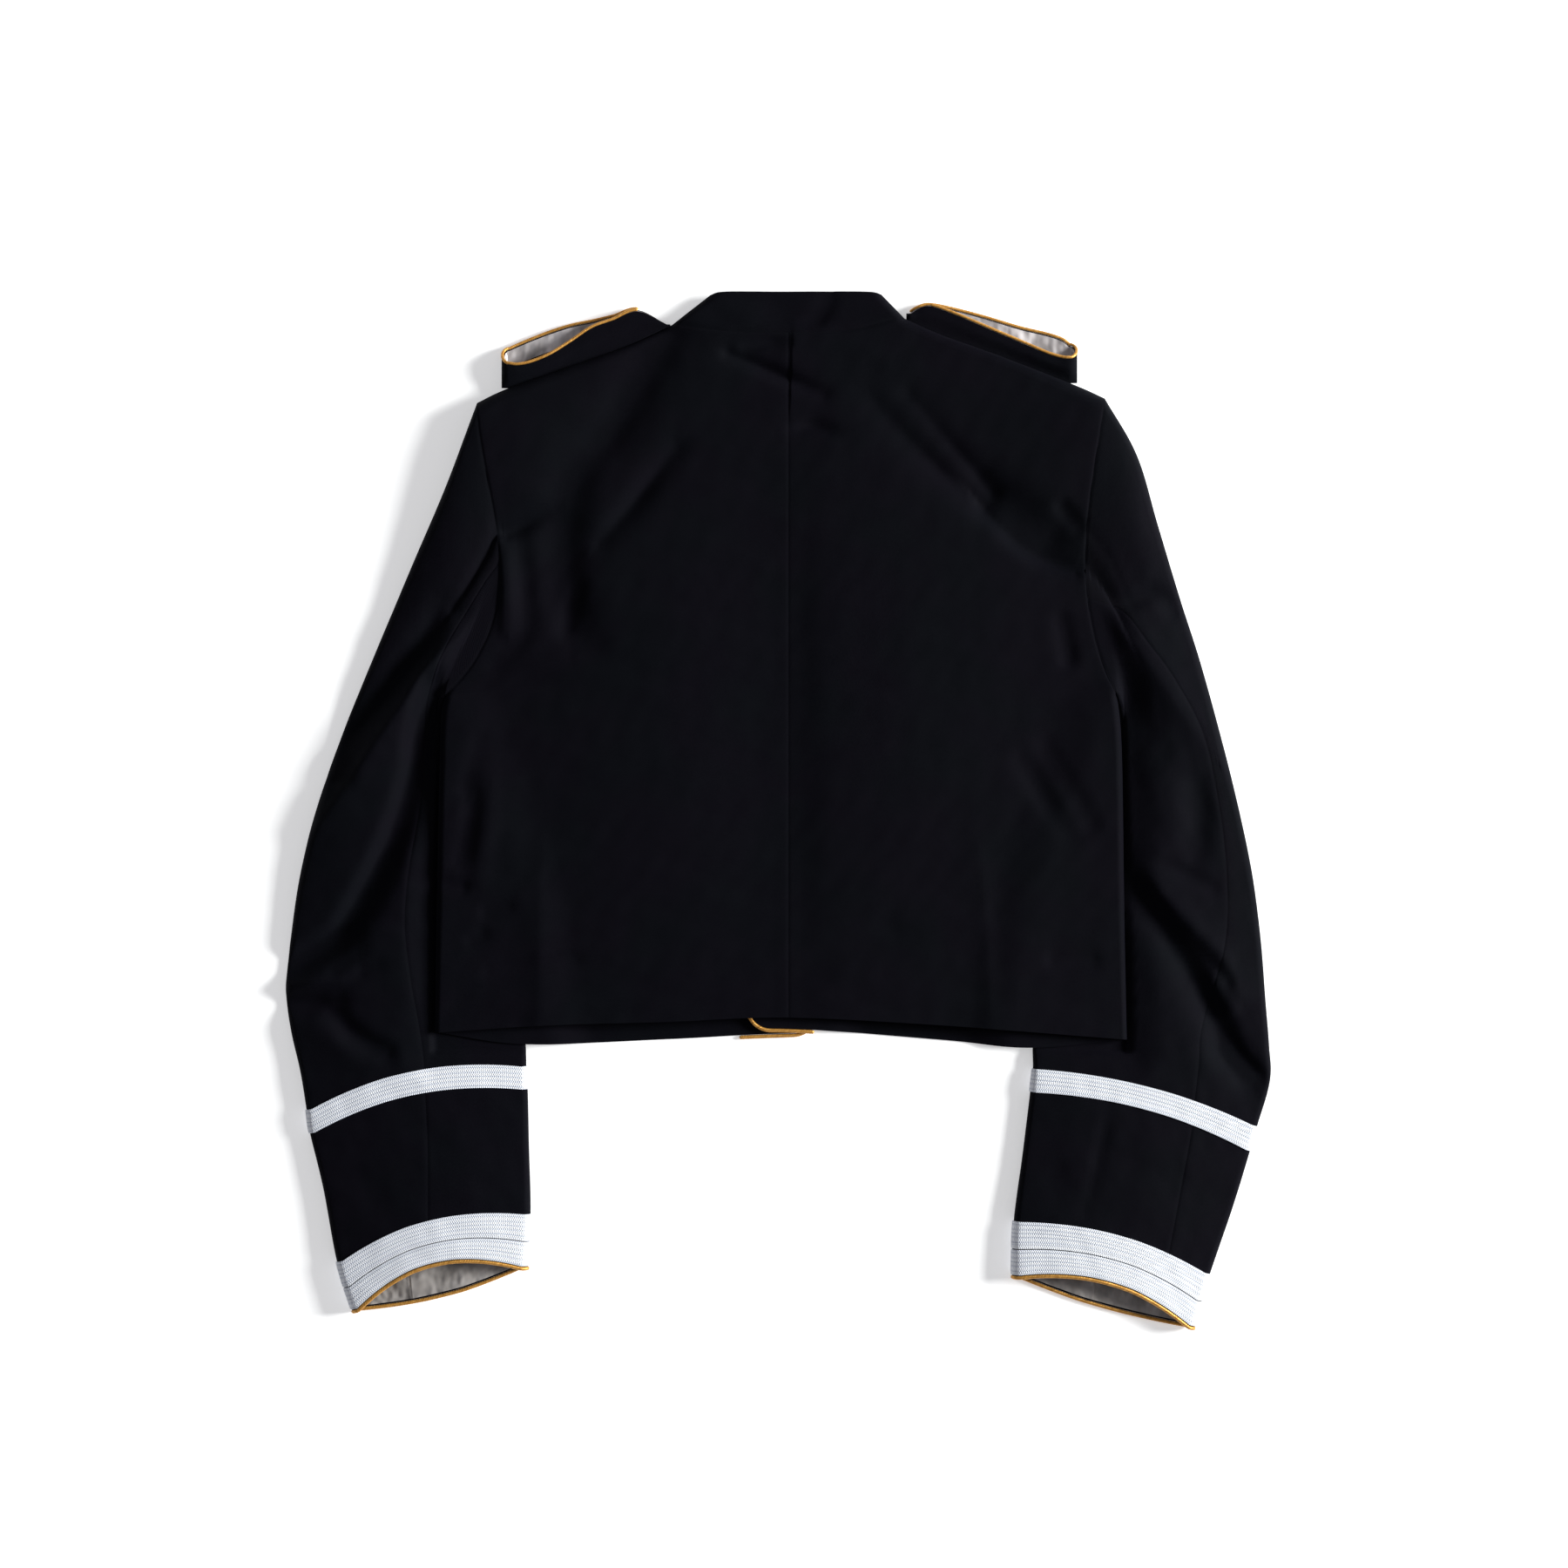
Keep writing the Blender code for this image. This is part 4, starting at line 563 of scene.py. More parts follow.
RIGHT_SLEEVE_CREASES: tuple[Crease, ...] = (
    Crease("trough off the cap",
           ((245.4, 244, -2.58), (232.4, 248, -5.15), (222.4, 227, -6.44),
            (210.4, 206, -3.86)), 8, 7, 1.6),
    Crease("trough across the seam",
           ((211.9, 148, -2.25), (232.9, 143, -4.19), (257.9, 147, -3.86), (272.9, 137, -1.61)), 6, 6),
    Crease("nick", ((214.6, 126, -1.49), (227.6, 121, -0.92)), 4, 4),
    Crease("long ridge",
           ((220, 138, 1.72), (236, 123, 3.45), (253, 104, 3.88), (274, 72, 3.45),
            (297, 40, 1.94)), 13, 9, 1.5),
    Crease("trough below the ridge",
           ((220.5, 114, -1.49), (234.5, 92, -2.61), (246.5, 66, -2.24), (260.5, 44, -1.12)), 9, 11),
    Crease("soft by the body", ((239.8, 33, -0.57), (253.8, -2, -0.81)), 9, 9),
    Crease("dent at the outer edge", ((286.7, 17, -2.9), (288.7, -6, -3.77), (286.7, -27, -2.32)), 9, 10),
    Crease("small fold", ((265.4, -37, -1.15), (281.4, -44, -2.18), (298.4, -52, -1.15)), 4, 5),
    Crease("crest",
           ((241, -33, 1.15), (257, -51, 3.22), (283, -79, 3.68), (307, -104, 3.22),
            (318, -126, 1.61)), 8, 6, 1.4),
    Crease("trough under the crest",
           ((232.7, -33, -2.99), (246.7, -55, -5.98), (264.7, -79, -6.88), (285.7, -114, -7.18),
            (306.7, -154, -7.48),
            (323.7, -183, -5.08)), 8, 11, 1.6),
    Crease("lit spot", ((298.4, -114, 1.03), (310.4, -135, 1.49)), 5, 4),
    Crease("trough beside the crest", ((288.6, -90, -1.03), (308.6, -116, -1.61)), 4, 4),
    Crease("hollow at the elbow corner",
           ((306.2, -165, -3.45), (319.2, -177, -4.6), (333.2, -186, -2.76)), 8, 8),
    Crease("upper sleeve soft a", ((257.4, 198, 0.46), (267.4, 150, 0.69)), 12, 14),
    Crease("upper sleeve soft b", ((234.8, 186, -0.46), (240.8, 162, -0.92)), 9, 9),
    Crease("under the elbow", ((215.4, -78, 0.34), (233.4, -120, 1.15), (245.4, -162, 0.57)), 14, 12),
    Crease("forearm soft", ((190.2, -156, -0.34), (216.2, -138, -0.92), (234.2, -114, -0.46)), 10, 12),
    Crease("crease down the forearm",
           ((226.8, -201, -0.57), (220.8, -234, -1.26), (209.8, -278, -0.57)), 4, 3),
    Crease("cuff soft", ((258.1, -222, 0.46), (252.2, -270, 0.69)), 11, 11),
    Crease("cuff dent", ((180.5, -222, -0.46), (190.5, -252, -0.92)), 10, 10),
)

# The hidden undersides lie flat, with a few soft places that don't quite touch the surface.
FRONT_CREASES: tuple[Crease, ...] = (
    Crease("left chest", ((-60, 210, 0.3), (-100, 150, 1.1), (-118, 90, 0.4)), 9, 13),
    Crease("left waist", ((-50, -20, 0.2), (-96, -62, 0.9), (-150, -78, 0.3)), 8, 11),
    Crease("left lower", ((-40, -110, 0.2), (-80, -118, 0.7), (-120, -108, 0.2)), 6, 8),
    Crease("left shoulder", ((-120, 292, 0.3), (-150, 250, 1.0), (-158, 214, 0.4)), 8, 8),
    Crease("right chest", ((80, 214, 0.2), (120, 168, 1.2), (132, 104, 0.4)), 12, 8),
    Crease("right waist", ((80, 6, 0.2), (122, -40, 0.8), (166, -52, 0.3)), 10, 7),
    Crease("right shoulder", ((110, 290, 0.3), (140, 262, 0.8), (170, 220, 0.3)), 8, 9),
)
UNDER_SLEEVE_CREASES: dict[Side, tuple[Crease, ...]] = {
    Side.LEFT: (
        Crease("upper", ((-230, 190, 0.2), (-252, 130, 1.2), (-268, 84, 0.4)), 9, 12),
        Crease("elbow", ((-246, 8, 0.3), (-276, -44, 1.3), (-312, -66, 0.4)), 8, 11),
        Crease("forearm", ((-214, -96, 0.2), (-246, -132, 0.9), (-292, -142, 0.3)), 7, 9),
    ),
    Side.RIGHT: (
        Crease("upper", ((240, 196, 0.2), (258, 138, 1.1), (276, 88, 0.4)), 12, 9),
        Crease("elbow", ((246, 6, 0.3), (280, -40, 1.3), (314, -70, 0.4)), 11, 8),
        Crease("forearm", ((214, -98, 0.2), (250, -134, 0.9), (300, -150, 0.3)), 9, 7),
    ),
}


@dataclass
class SleevePlan:
    """Where a sleeve's sections run in plan.

    Below the armhole a bow is fuller in its middle, until a few sections further down.
    """

    side: Side
    sections: tuple[Section, ...]
    armhole_skew: float
    armhole_reach: float = 0.5
    full_until: float = 3.0
    full_fade: float = 3.0

    def __post_init__(self) -> None:
        """Turns the sections into one table of numbers."""
        self.rows = np.array([tuple(vars(section).values()) for section in self.sections])

    def row(self, k: float) -> Section:
        """The section's numbers at a whole or part section."""
        return Section(*spline_rows(self.rows, k)[0])

    def across(self, k: float, shares: Grid, layer: Grid) -> tuple[Grid, float, Grid]:
        """Plan points across a section.

        Args:
            k: the section, from 0 at the armhole.
            shares: shares across it from the outer to the inner fold.
            layer: which layer each one is on.

        Returns:
            The points, the section's width and the unit direction towards the cuff.
        """
        row = self.row(k)
        outer = np.array([row.outer_x, row.outer_y])
        run = np.array([row.inner_x, row.inner_y]) - outer
        width = float(np.linalg.norm(run))
        run = run / width
        cuffward = self.side * np.array([-run[1], run[0]])
        bow = np.where(np.asarray(layer) >= 0, row.upper_bow, row.lower_bow)
        arch = 4 * shares * (1 - shares)
        fades = smoothstep((k - self.full_until) / self.full_fade)
        leave = smoothstep(k / self.armhole_reach) * (1.0 - fades)
        skewed = arch * (1 + self.armhole_skew * (1.0 - smoothstep(k)) * (2 * shares - 1))
        bulge = bow * (skewed * (1 - leave) + arch**2 * leave)
        xy = outer + (shares * width)[:, None] * run + bulge[:, None] * cuffward
        return xy, width, cuffward


@dataclass
class BodyForm:
    """The laid body: an underside on the surface, a crown above it and round folds at its sides."""

    plans: dict[Side, SleevePlan]
    centre_x: float = 7.5
    centre_y: float = 60.0
    front_edges: dict[Side, float] = field(default_factory=lambda: {Side.LEFT: 25.5, Side.RIGHT: -19.5})
    lift: float = 6.5
    lift_ramp: float = 34.0
    tuck_margin: float = 14.0
    lap_clearance: float = 3.8
    lap_margin: float = 7.0
    lap_ramp: float = 26.0
    hem_corner: float = 15.0
    loft_rows: tuple[tuple[float, float], ...] = (
        (-160.0, 12.4), (-60.0, 14.6), (80.0, 15.2), (200.0, 15.4), (280.0, 14.4), (345.0, 13.0),
    )
    side_loss: float = 1.8
    lift_kept: float = 0.5
    lift_kept_above: float = 60.0
    lift_kept_ramp: float = 90.0
    side_start: float = 120.0
    side_reach: float = 80.0
    pads: tuple[tuple[float, float], ...] = ((-196.0, 255.0), (214.0, 258.0))
    pad_height: float = 6.5
    pad_reach: float = 55.0
    fold_flat: float = 0.2
    seam_reach: float = 0.05
    corner_reach: float = 0.4
    corner_step: float = 0.02
    back_ripple: Ripple = Ripple(seed=5, height=0.42)
    front_ripple: Ripple = Ripple(seed=8, height=0.12)

    def __post_init__(self) -> None:
        """Draws the seam lines that every piece of the body shares."""
        self.sides = {side: Outline(points) for side, points in SIDE_SEAM.items()}
        self.shoulders = {side: Outline(points) for side, points in SHOULDER_SEAM.items()}
        self.tucks = {
            side: Outline([(row.inner_x, row.inner_y) for row in plan.sections[4:12]])
            for side, plan in self.plans.items()
        }
        self.rolled = [*self.sides.values(), *self.shoulders.values()]

    def tuck_distance(self, xy: Grid, side: Side) -> Grid:
        """How far plan points lie from the sleeve tucked under the body.

        Args:
            xy: plan points.
            side: which sleeve.

        Returns:
            The distances, 0 over the sleeve.
        """
        line = self.tucks[side]
        gap, _ = line.nearest(xy)
        order = np.argsort(line.points[:, 1])
        edge_x = np.interp(xy[..., 1], line.points[order, 1], line.points[order, 0]) * side
        inside = (xy[..., 0] * side > edge_x) & (xy[..., 1] < line.points[0, 1])
        return np.where(inside, 0.0, np.maximum(gap - self.tuck_margin, 0.0))

    def ground(self, xy: Grid) -> Grid:
        """Height of the underside: flat, but lifted over the tucked part of each sleeve."""
        lifts = [1.0 - smoothstep(self.tuck_distance(xy, side) / self.lift_ramp) for side in Side]
        return self.lift * np.maximum(*lifts)

    def base_crown(self, xy: Grid) -> Grid:
        """Height of the outer face of the back before its creases.

        Args:
            xy: plan points.

        Returns:
            The heights.
        """
        ys, lofts = zip(*self.loft_rows)
        loft = np.interp(xy[..., 1], ys, lofts)
        sideways = np.abs(xy[..., 0] - self.centre_x)
        loft = loft - self.side_loss * smoothstep((sideways - self.side_start) / self.side_reach)
        for pad in self.pads:
            gap = np.linalg.norm(xy - np.array(pad), axis=-1)
            loft = loft + self.pad_height * bell(gap, self.pad_reach)
        low = self.ground(xy)
        rise = smoothstep((xy[..., 1] - self.lift_kept_above) / self.lift_kept_ramp)
        kept = self.lift_kept + (1 - self.lift_kept) * rise
        return low * kept + loft

    def crown(self, xy: Grid) -> Grid:
        """Height of the outer face of the back with its creases and its slight unevenness."""
        return self.base_crown(xy) + relief(xy, BACK_CREASES) + self.back_ripple.at(xy)

    def armhole(self, side: Side, share: Grid) -> Grid:
        """Plan points of the armhole seam, from the underarm up to the shoulder tip."""
        xy, _, cuffward = self.plans[side].across(0.0, 1.0 - np.asarray(share, float), np.array(1))
        return xy - cuffward * STOCK.gap / 2

    def armhole_line(self, side: Side) -> Outline:
        """The armhole seam as an outline."""
        return Outline(self.armhole(side, np.linspace(0, 1, 60)), steps=1)

    def half_neck(self, side: Side, layer: Layer) -> Line:
        """The neck seam of one panel, from its inner edge to the shoulder."""
        neck = Outline(BACK_NECK if layer == Layer.BACK else FRONT_NECK)
        start = neck.share_at_x(self.centre_x if layer == Layer.BACK else self.front_edges[side])
        return neck.stretch(start, side.end_share)

    def corners(self, layer: Layer) -> list[tuple[Grid, Grid]]:
        """Where seam lines meet a fold.

        Args:
            layer: the back or the front.

        Returns:
            Each such point in plan, with the direction outward along its seam line.
        """
        found = []
        for side in Side:
            ends = self.armhole(side, np.array([0.0, self.corner_step, 1 - self.corner_step, 1.0]))
            neck = self.half_neck(side, layer)(np.array([1 - self.corner_step, 1.0]))
            for near, corner in ((ends[1], ends[0]), (ends[2], ends[3]), neck):
                found.append((corner, unit(corner - near)))
        return found

    def point(self, xy: Grid, layer: Layer, over: Grid | float = 0.0) -> Surface:
        """Points on the body's outer face.

        Args:
            xy: plan points.
            layer: the back or the front.
            over: height added to them.

        Returns:
            The points and their outward directions.
        """
        gaps, feet = zip(*(line.nearest(xy) for line in self.rolled))
        best = np.argmin(gaps, axis=0)
        gap = np.choose(best, gaps)
        foot = np.stack([np.choose(best, [f[..., i] for f in feet]) for i in (0, 1)], axis=-1)
        outward = unit(foot - xy, least=1e-6)
        low, high = self.ground(xy), self.crown(xy)
        middle, radius = (low + high) / 2, (high - low) / 2
        near = np.clip(1.0 - (gap - self.fold_flat) / radius, 0.0, 1.0)
        level = np.sqrt(1.0 - near**2)
        away = unit(xy - np.array([self.centre_x, self.centre_y]))
        outward = np.where(gap[..., None] > self.seam_reach, outward, away)
        for corner, direction in self.corners(layer):
            at_corner = np.linalg.norm(xy - corner, axis=-1, keepdims=True) < self.corner_reach
            outward = np.where(at_corner, direction, outward)
        z = middle + layer * np.maximum(radius * level, STOCK.gap / 2) + over
        if layer == Layer.FRONT:
            lifted = relief(xy, FRONT_CREASES) + np.maximum(self.front_ripple.at(xy), 0.0)
            z = z + lifted * (1 - near)
        return raised(xy, z), raised(outward * near[..., None], layer * level)

    def lap_lift(self, xy: Grid) -> Grid:
        """Extra height of the right front where it laps over the left one and its cord."""
        past = xy[..., 0] - (self.front_edges[Side.LEFT] + 2 * STOCK.cord_radius + self.lap_margin)
        return self.lap_clearance * (1.0 - smoothstep(past / self.lap_ramp))

    def front_bottom(self, side: Side) -> Outline:
        """A front's lower edge: a round corner at the front edge, then the hem to the side seam.

        Args:
            side: which front.

        Returns:
            The edge in plan.
        """
        hem = Outline(FRONT_HEM[side])
        share = hem.share_at_x(self.front_edges[side] + side * self.hem_corner)
        turns = np.linspace(0.0, np.pi / 2, 13)
        centre = hem.at(share) + np.array([0.0, self.hem_corner])
        arc = centre + self.hem_corner * np.column_stack([-side * np.cos(turns), -np.sin(turns)])
        rest = hem.at(np.linspace(share, side.end_share, 60)[1:])
        return Outline(np.vstack([arc, rest]), steps=1)


@dataclass
class SleeveForm:
    """A flattened sleeve: a section's ends are round folds, its underside rests on the surface.

    Where the body lies on the sleeve it is pressed down, over two reaches from the body's edge. Near a
    fold the columns move to keep it round, and those nearer the middle than the still share don't.
    """

    plan: SleevePlan
    body: BodyForm
    creases: tuple[Crease, ...]
    edge_share: float = 0.66
    last: float = 16.0
    head_sections: float = 3.4
    turn_sections: float = 3.0
    press_reaches: tuple[float, float] = (4.0, 26.0)
    tuck_height: float = 6.0
    hem_y: float = -164.0
    still: float = 0.12
    seam_crowding: float = 2.0
    seam_crowding_reach: float = 0.05
    fold_step: float = 0.02
    fold_sections: float = 0.05
    thinnest: float = 4.2
    softness: float = 1.2
    cap_steps: tuple[float, ...] = (0.03, 0.10, 0.20, 0.33, 0.5, 0.7, 0.85, 1.0)
    upper_steps: int = 34
    lower_outer_steps: int = 16
    lower_inner_steps: int = 9

    def __post_init__(self) -> None:
        """Takes the side from the plan and seeds the slight unevenness of the cloth."""
        self.side = self.plan.side
        self.ripple = Ripple(seed=21 + self.side, height=0.4, shortest=12.0, longest=48.0)

    def body_gap(self, xy: Grid) -> Grid:
        """Distance in plan from the part of the body that lies on the sleeve.

        Args:
            xy: plan points.

        Returns:
            The distances, 0 under the body.
        """
        line = self.body.sides[self.side].points
        edge_x = np.interp(xy[:, 1], line[:, 1], line[:, 0]) * self.side
        beside = np.maximum(xy[:, 0] * self.side - edge_x, 0.0)
        below = np.maximum(self.hem_y - xy[:, 1], 0.0)
        above = np.maximum(xy[:, 1] - line[-1, 1], 0.0)
        return np.hypot(beside, np.maximum(below, above))

    def levels(self, k: float, shares: Grid, xy: Grid, layers: Grid) -> tuple[Grid, Grid]:
        """Heights of the underside and the top of the sleeve's outer face.

        Args:
            k: the section.
            shares: shares across it.
            xy: their plan points.
            layers: which layer each one is on.

        Returns:
            The lower and the upper heights.
        """
        row = self.plan.row(k)
        arch = 4 * shares * (1 - shares)
        low = np.full(len(shares), max(row.rise, 0.0))
        high = low + row.height * (self.edge_share + (1 - self.edge_share) * arch)
        high = high + relief(xy, self.creases) + self.ripple.at(xy)
        pressed = sum(smoothstep(self.body_gap(xy) / reach) for reach in self.press_reaches) / 2
        high = self.tuck_height + (high - self.tuck_height) * pressed
        spare = high - low - self.thinnest
        high = low + self.thinnest + (spare + np.sqrt(spare**2 + self.softness**2)) / 2
        low = low + relief(xy, UNDER_SLEEVE_CREASES[self.side]) * np.minimum(arch, 1.0)
        head = 1.0 - smoothstep(k / self.head_sections)
        if head > 0:
            sewn, _, _ = self.plan.across(0.0, shares, layers)
            low = low * (1 - head) + self.body.ground(sewn) * head
            high = high * (1 - head) + (self.body.base_crown(sewn) + relief(sewn, BACK_CREASES)) * head
        return low, high

    def fold(self, k: float, end: float) -> tuple[Grid, Grid]:
        """Where a section's fold is, and which way it faces.

        Args:
            k: the section.
            end: 0 for its outer fold and 1 for its inner one.

        Returns:
            The point and the outward direction there, both in plan.
        """
        step = self.fold_step if end == 0.0 else -self.fold_step
        points, _, _ = self.plan.across(k, np.array([end, end + step]), np.array(1))
        along = unit(points[0] - points[1])
        places = (min(k + self.fold_sections, self.last), max(k - self.fold_sections, 0.0))
        ahead, behind = (self.plan.across(place, np.array([end]), np.array(1))[0] for place in places)
        run = (ahead - behind)[0]
        normal = unit(np.array([run[1], -run[0]]))
        normal *= np.sign(normal @ along)
        sewn = 1.0 - smoothstep(k / self.turn_sections)
        return points[0], unit(along * sewn + normal * (1 - sewn))

    def cap_radius(self, k: float) -> Grid:
        """Half the height of the sleeve at its outer and its inner fold."""
        ends = np.array([0.0, 1.0])
        xy, _, _ = self.plan.across(k, ends, np.ones(2))
        low, high = self.levels(k, ends, xy, np.ones(2))
        return (high - low) / 2

    def surface(self, k: float, shares: Grid, layers: Grid) -> Surface:
        """Points on the sleeve's outer face round one section.

        Args:
            k: the section.
            shares: shares across it.
            layers: which layer each one is on, 0 on a fold.

        Returns:
            The points and their outward directions.
        """
        xy, width, cuffward = self.plan.across(k, shares, layers)
        low, high = self.levels(k, shares, xy, layers)
        middle, radius = (low + high) / 2, (high - low) / 2
        square = smoothstep(k / self.plan.armhole_reach)
        near, outward = np.zeros(len(shares)), np.zeros_like(xy)
        moved = xy.copy()
        for end, reach in zip((0.0, 1.0), self.cap_radius(k)):
            corner, direction = self.fold(k, end)
            inset = np.abs(shares - end) * width
            cap = inset <= reach + 1e-9
            near = np.where(cap, np.clip(1.0 - (inset - self.body.fold_flat) / reach, 0.0, 1.0), near)
            outward = np.where(cap[:, None], direction, outward)
            squared = corner - direction * inset[:, None]
            moved = np.where(cap[:, None], xy * (1 - square) + squared * square, moved)
            rim, _, _ = self.plan.across(k, np.full(2, abs(end - reach / width)), np.array([1, -1]))
            shift = corner - direction * reach - np.where((layers >= 0)[:, None], rim[0], rim[1])
            fade = (np.abs(shares - 0.5) - self.still) / (0.5 - self.still - reach / width)
            fade = np.clip(fade, 0.0, 1.0)
            here = ~cap & (np.abs(shares - end) < 0.5)
            moved = np.where(here[:, None], xy + shift * (fade * square)[:, None], moved)
        level = np.sqrt(np.clip(1.0 - near**2, 0.0, 1.0))
        points = raised(moved, middle + layers * radius * level)
        facing = unit(raised(outward * near[:, None], layers * level))
        points[:, :2] += cuffward * (STOCK.gap / 2) * (1.0 - smoothstep(k / 2))
        return points, facing

    def caps(self, k: float) -> tuple[Grid, Grid, float]:
        """Shares across the section that round off its outer and its inner fold, and its width."""
        steps = np.array(self.cap_steps)
        _, width, _ = self.plan.across(k, np.array([0.0]), np.array(1))
        outer, inner = self.cap_radius(k) / width
        return steps * outer, 1 - steps[::-1] * inner, width

    def columns(self, k: float, piece: str) -> tuple[Grid, Grid]:
        """Where the columns of one cut piece are, from seam to seam.

        Args:
            k: the section.
            piece: top_sleeve or under_sleeve.

        Returns:
            Their shares across the section and their layers.
        """
        outer_cap, inner_cap, width = self.caps(k)
        crowding, reach = self.seam_crowding, self.seam_crowding_reach
        row, gap = self.plan.row(k), STOCK.gap / 2 / width
        if piece == "top_sleeve":
            seamward = dense_shares(self.upper_steps + 1, high=crowding, reach=reach)
            below = np.linspace(row.front_seam - gap, outer_cap[-1], self.lower_outer_steps + 1)
            above = outer_cap[-1] + (row.seam - gap - outer_cap[-1]) * seamward[1:]
            shares = [below, outer_cap[-2::-1], [0.0], outer_cap, above]
            signs = (-1, -1, 0, 1, 1)
        else:
            seamward = dense_shares(self.upper_steps + 1, low=crowding, reach=reach)
            above = row.seam + gap + (inner_cap[0] - row.seam - gap) * seamward
            below = np.linspace(inner_cap[0], row.front_seam + gap, self.lower_inner_steps + 1)[1:]
            shares = [above, inner_cap[1:], [1.0], inner_cap[::-1], below]
            signs = (1, 1, 0, -1, -1)
        layers = [np.full(len(part), sign) for part, sign in zip(shares, signs)]
        return np.concatenate(shares), np.concatenate(layers)

    def ring(self, k: float) -> tuple[Grid, Grid]:
        """Shares and layers all round a section, for what is sewn round the sleeve."""
        top_shares, top_layers = self.columns(k, "top_sleeve")
        under_shares, under_layers = self.columns(k, "under_sleeve")
        shares = np.concatenate([top_shares, under_shares[1:]])
        return shares, np.concatenate([top_layers, under_layers[1:]])

    def grid(self, sections: Grid, columns: Callable[[float], tuple[Grid, Grid]]) -> Surface:
        """Points and directions with one column for each place round and one row for each section."""
        found = [self.surface(float(k), *columns(float(k))) for k in sections]
        points = np.array([points for points, _ in found]).transpose(1, 0, 2)
        return points, np.array([facing for _, facing in found]).transpose(1, 0, 2)


@dataclass(frozen=True)
class Shade:
    """A colour in linear light."""

    red: float
    green: float
    blue: float

    @property
    def rgba(self) -> tuple[float, float, float, float]:
        """The colour with full cover, as a socket takes it."""
        return (self.red, self.green, self.blue, 1.0)


class NodeDesk:
    """Lays out the nodes of one material."""

    def __init__(self, name: str) -> None:
        """Makes a material of that name with its shader ready."""
        self.material = bpy.data.materials.new(name)
        self.material.use_nodes = True
        self.tree = self.material.node_tree
        self.shader = self.tree.nodes["Principled BSDF"]

    def node(self, kind: str, **settings: object) -> bpy.types.Node:
        """A new node of that kind.

        Args:
            kind: the node's type, without its ShaderNode prefix.
            settings: its own properties.

        Returns:
            The node.
        """
        made = self.tree.nodes.new("ShaderNode" + kind)
        for key, value in settings.items():
            setattr(made, key, value)
        return made

    def join(self, source: Socket, target: Socket) -> None:
        """Links an output to an input."""
        self.tree.links.new(source, target)

    def math(self, operation: str, first: object, second: object = 0.0) -> Socket:
        """The result of a sum on two sockets or numbers.

        Args:
            operation: the sum's name, such as MULTIPLY.
            first: a socket or a number.
            second: a socket or a number.

        Returns:
            The result's socket.
        """
        made = self.node("Math", operation=operation)
        for socket, value in zip(made.inputs, (first, second)):
            if isinstance(value, Socket):
                self.join(value, socket)
            else:
                socket.default_value = value
        return made.outputs[0]

    def wave(self, angle: Socket) -> Socket:
        """A sine wave between 0 and 1 over an angle."""
        made = self.math("MULTIPLY_ADD", self.math("SINE", angle), 0.5)
        made.node.inputs[2].default_value = 0.5
        return made

    def total(self, *parts: tuple[Socket, float]) -> Socket:
        """The sum of some values, each times its share."""
        scaled = [self.math("MULTIPLY", value, share) for value, share in parts]
        return reduce(lambda first, second: self.math("ADD", first, second), scaled)

    def ramp(self, source: Socket, stops: tuple[tuple[float, Shade], ...]) -> Socket:
        """A colour read from a row of stops.

        Args:
            source: the value to read at.
            stops: places and their colours.

        Returns:
            The colour's socket.
        """
        made = self.node("ValToRGB")
        elements = made.color_ramp.elements
        while len(elements) < len(stops):
            elements.new(0.5)
        for element, (place, shade) in zip(elements, stops):
            element.position = place
            element.color = shade.rgba
        self.join(source, made.inputs[0])
        return made.outputs[0]

    def multiply(self, first: Socket, second: Socket) -> Socket:
        """The product of two colours.

        Args:
            first: a colour.
            second: a colour.

        Returns:
            The product's socket.
        """
        made = self.node("Mix", data_type="RGBA", blend_type="MULTIPLY")
        factor, one, two = made.inputs[0], made.inputs[6], made.inputs[7]
        factor.default_value = 1.0
        self.join(first, one)
        self.join(second, two)
        return made.outputs[2]

    def weave_uv(self) -> tuple[Socket, Socket, Socket]:
        """The cloth's own coordinates in centimetres: the vector, along and across."""
        place = self.node("UVMap", uv_map="weave").outputs[0]
        split = self.node("SeparateXYZ")
        self.join(place, split.inputs[0])
        return place, split.outputs[0], split.outputs[1]

    def noise(self, place: Socket, scale: float, detail: float = 2.0) -> Socket:
        """A noise value over a place, with that many bumps in a centimetre."""
        made = self.node("TexNoise")
        made.inputs["Scale"].default_value = scale
        made.inputs["Detail"].default_value = detail
        self.join(place, made.inputs["Vector"])
        return made.outputs[0]

    def bump(self, height: Socket, depth: float, under: Socket | None = None) -> Socket:
        """A bump of a depth in metres.

        Args:
            height: its height from 0 to 1.
            depth: how deep it is at full height.
            under: the normal that it is laid over.

        Returns:
            The new normal.
        """
        made = self.node("Bump")
        made.inputs["Strength"].default_value = 1.0
        made.inputs["Distance"].default_value = depth
        self.join(height, made.inputs["Height"])
        if under is not None:
            self.join(under, made.inputs["Normal"])
        return made.outputs[0]

    def finish(self, **sockets: object) -> Material:
        """Sets the shader's sockets, by name with _ for a space, and returns the material."""
        for key, value in sockets.items():
            socket = self.shader.inputs[key.replace("_", " ")]
            if isinstance(value, Socket):
                self.join(value, socket)
            else:
                socket.default_value = value
        return self.material


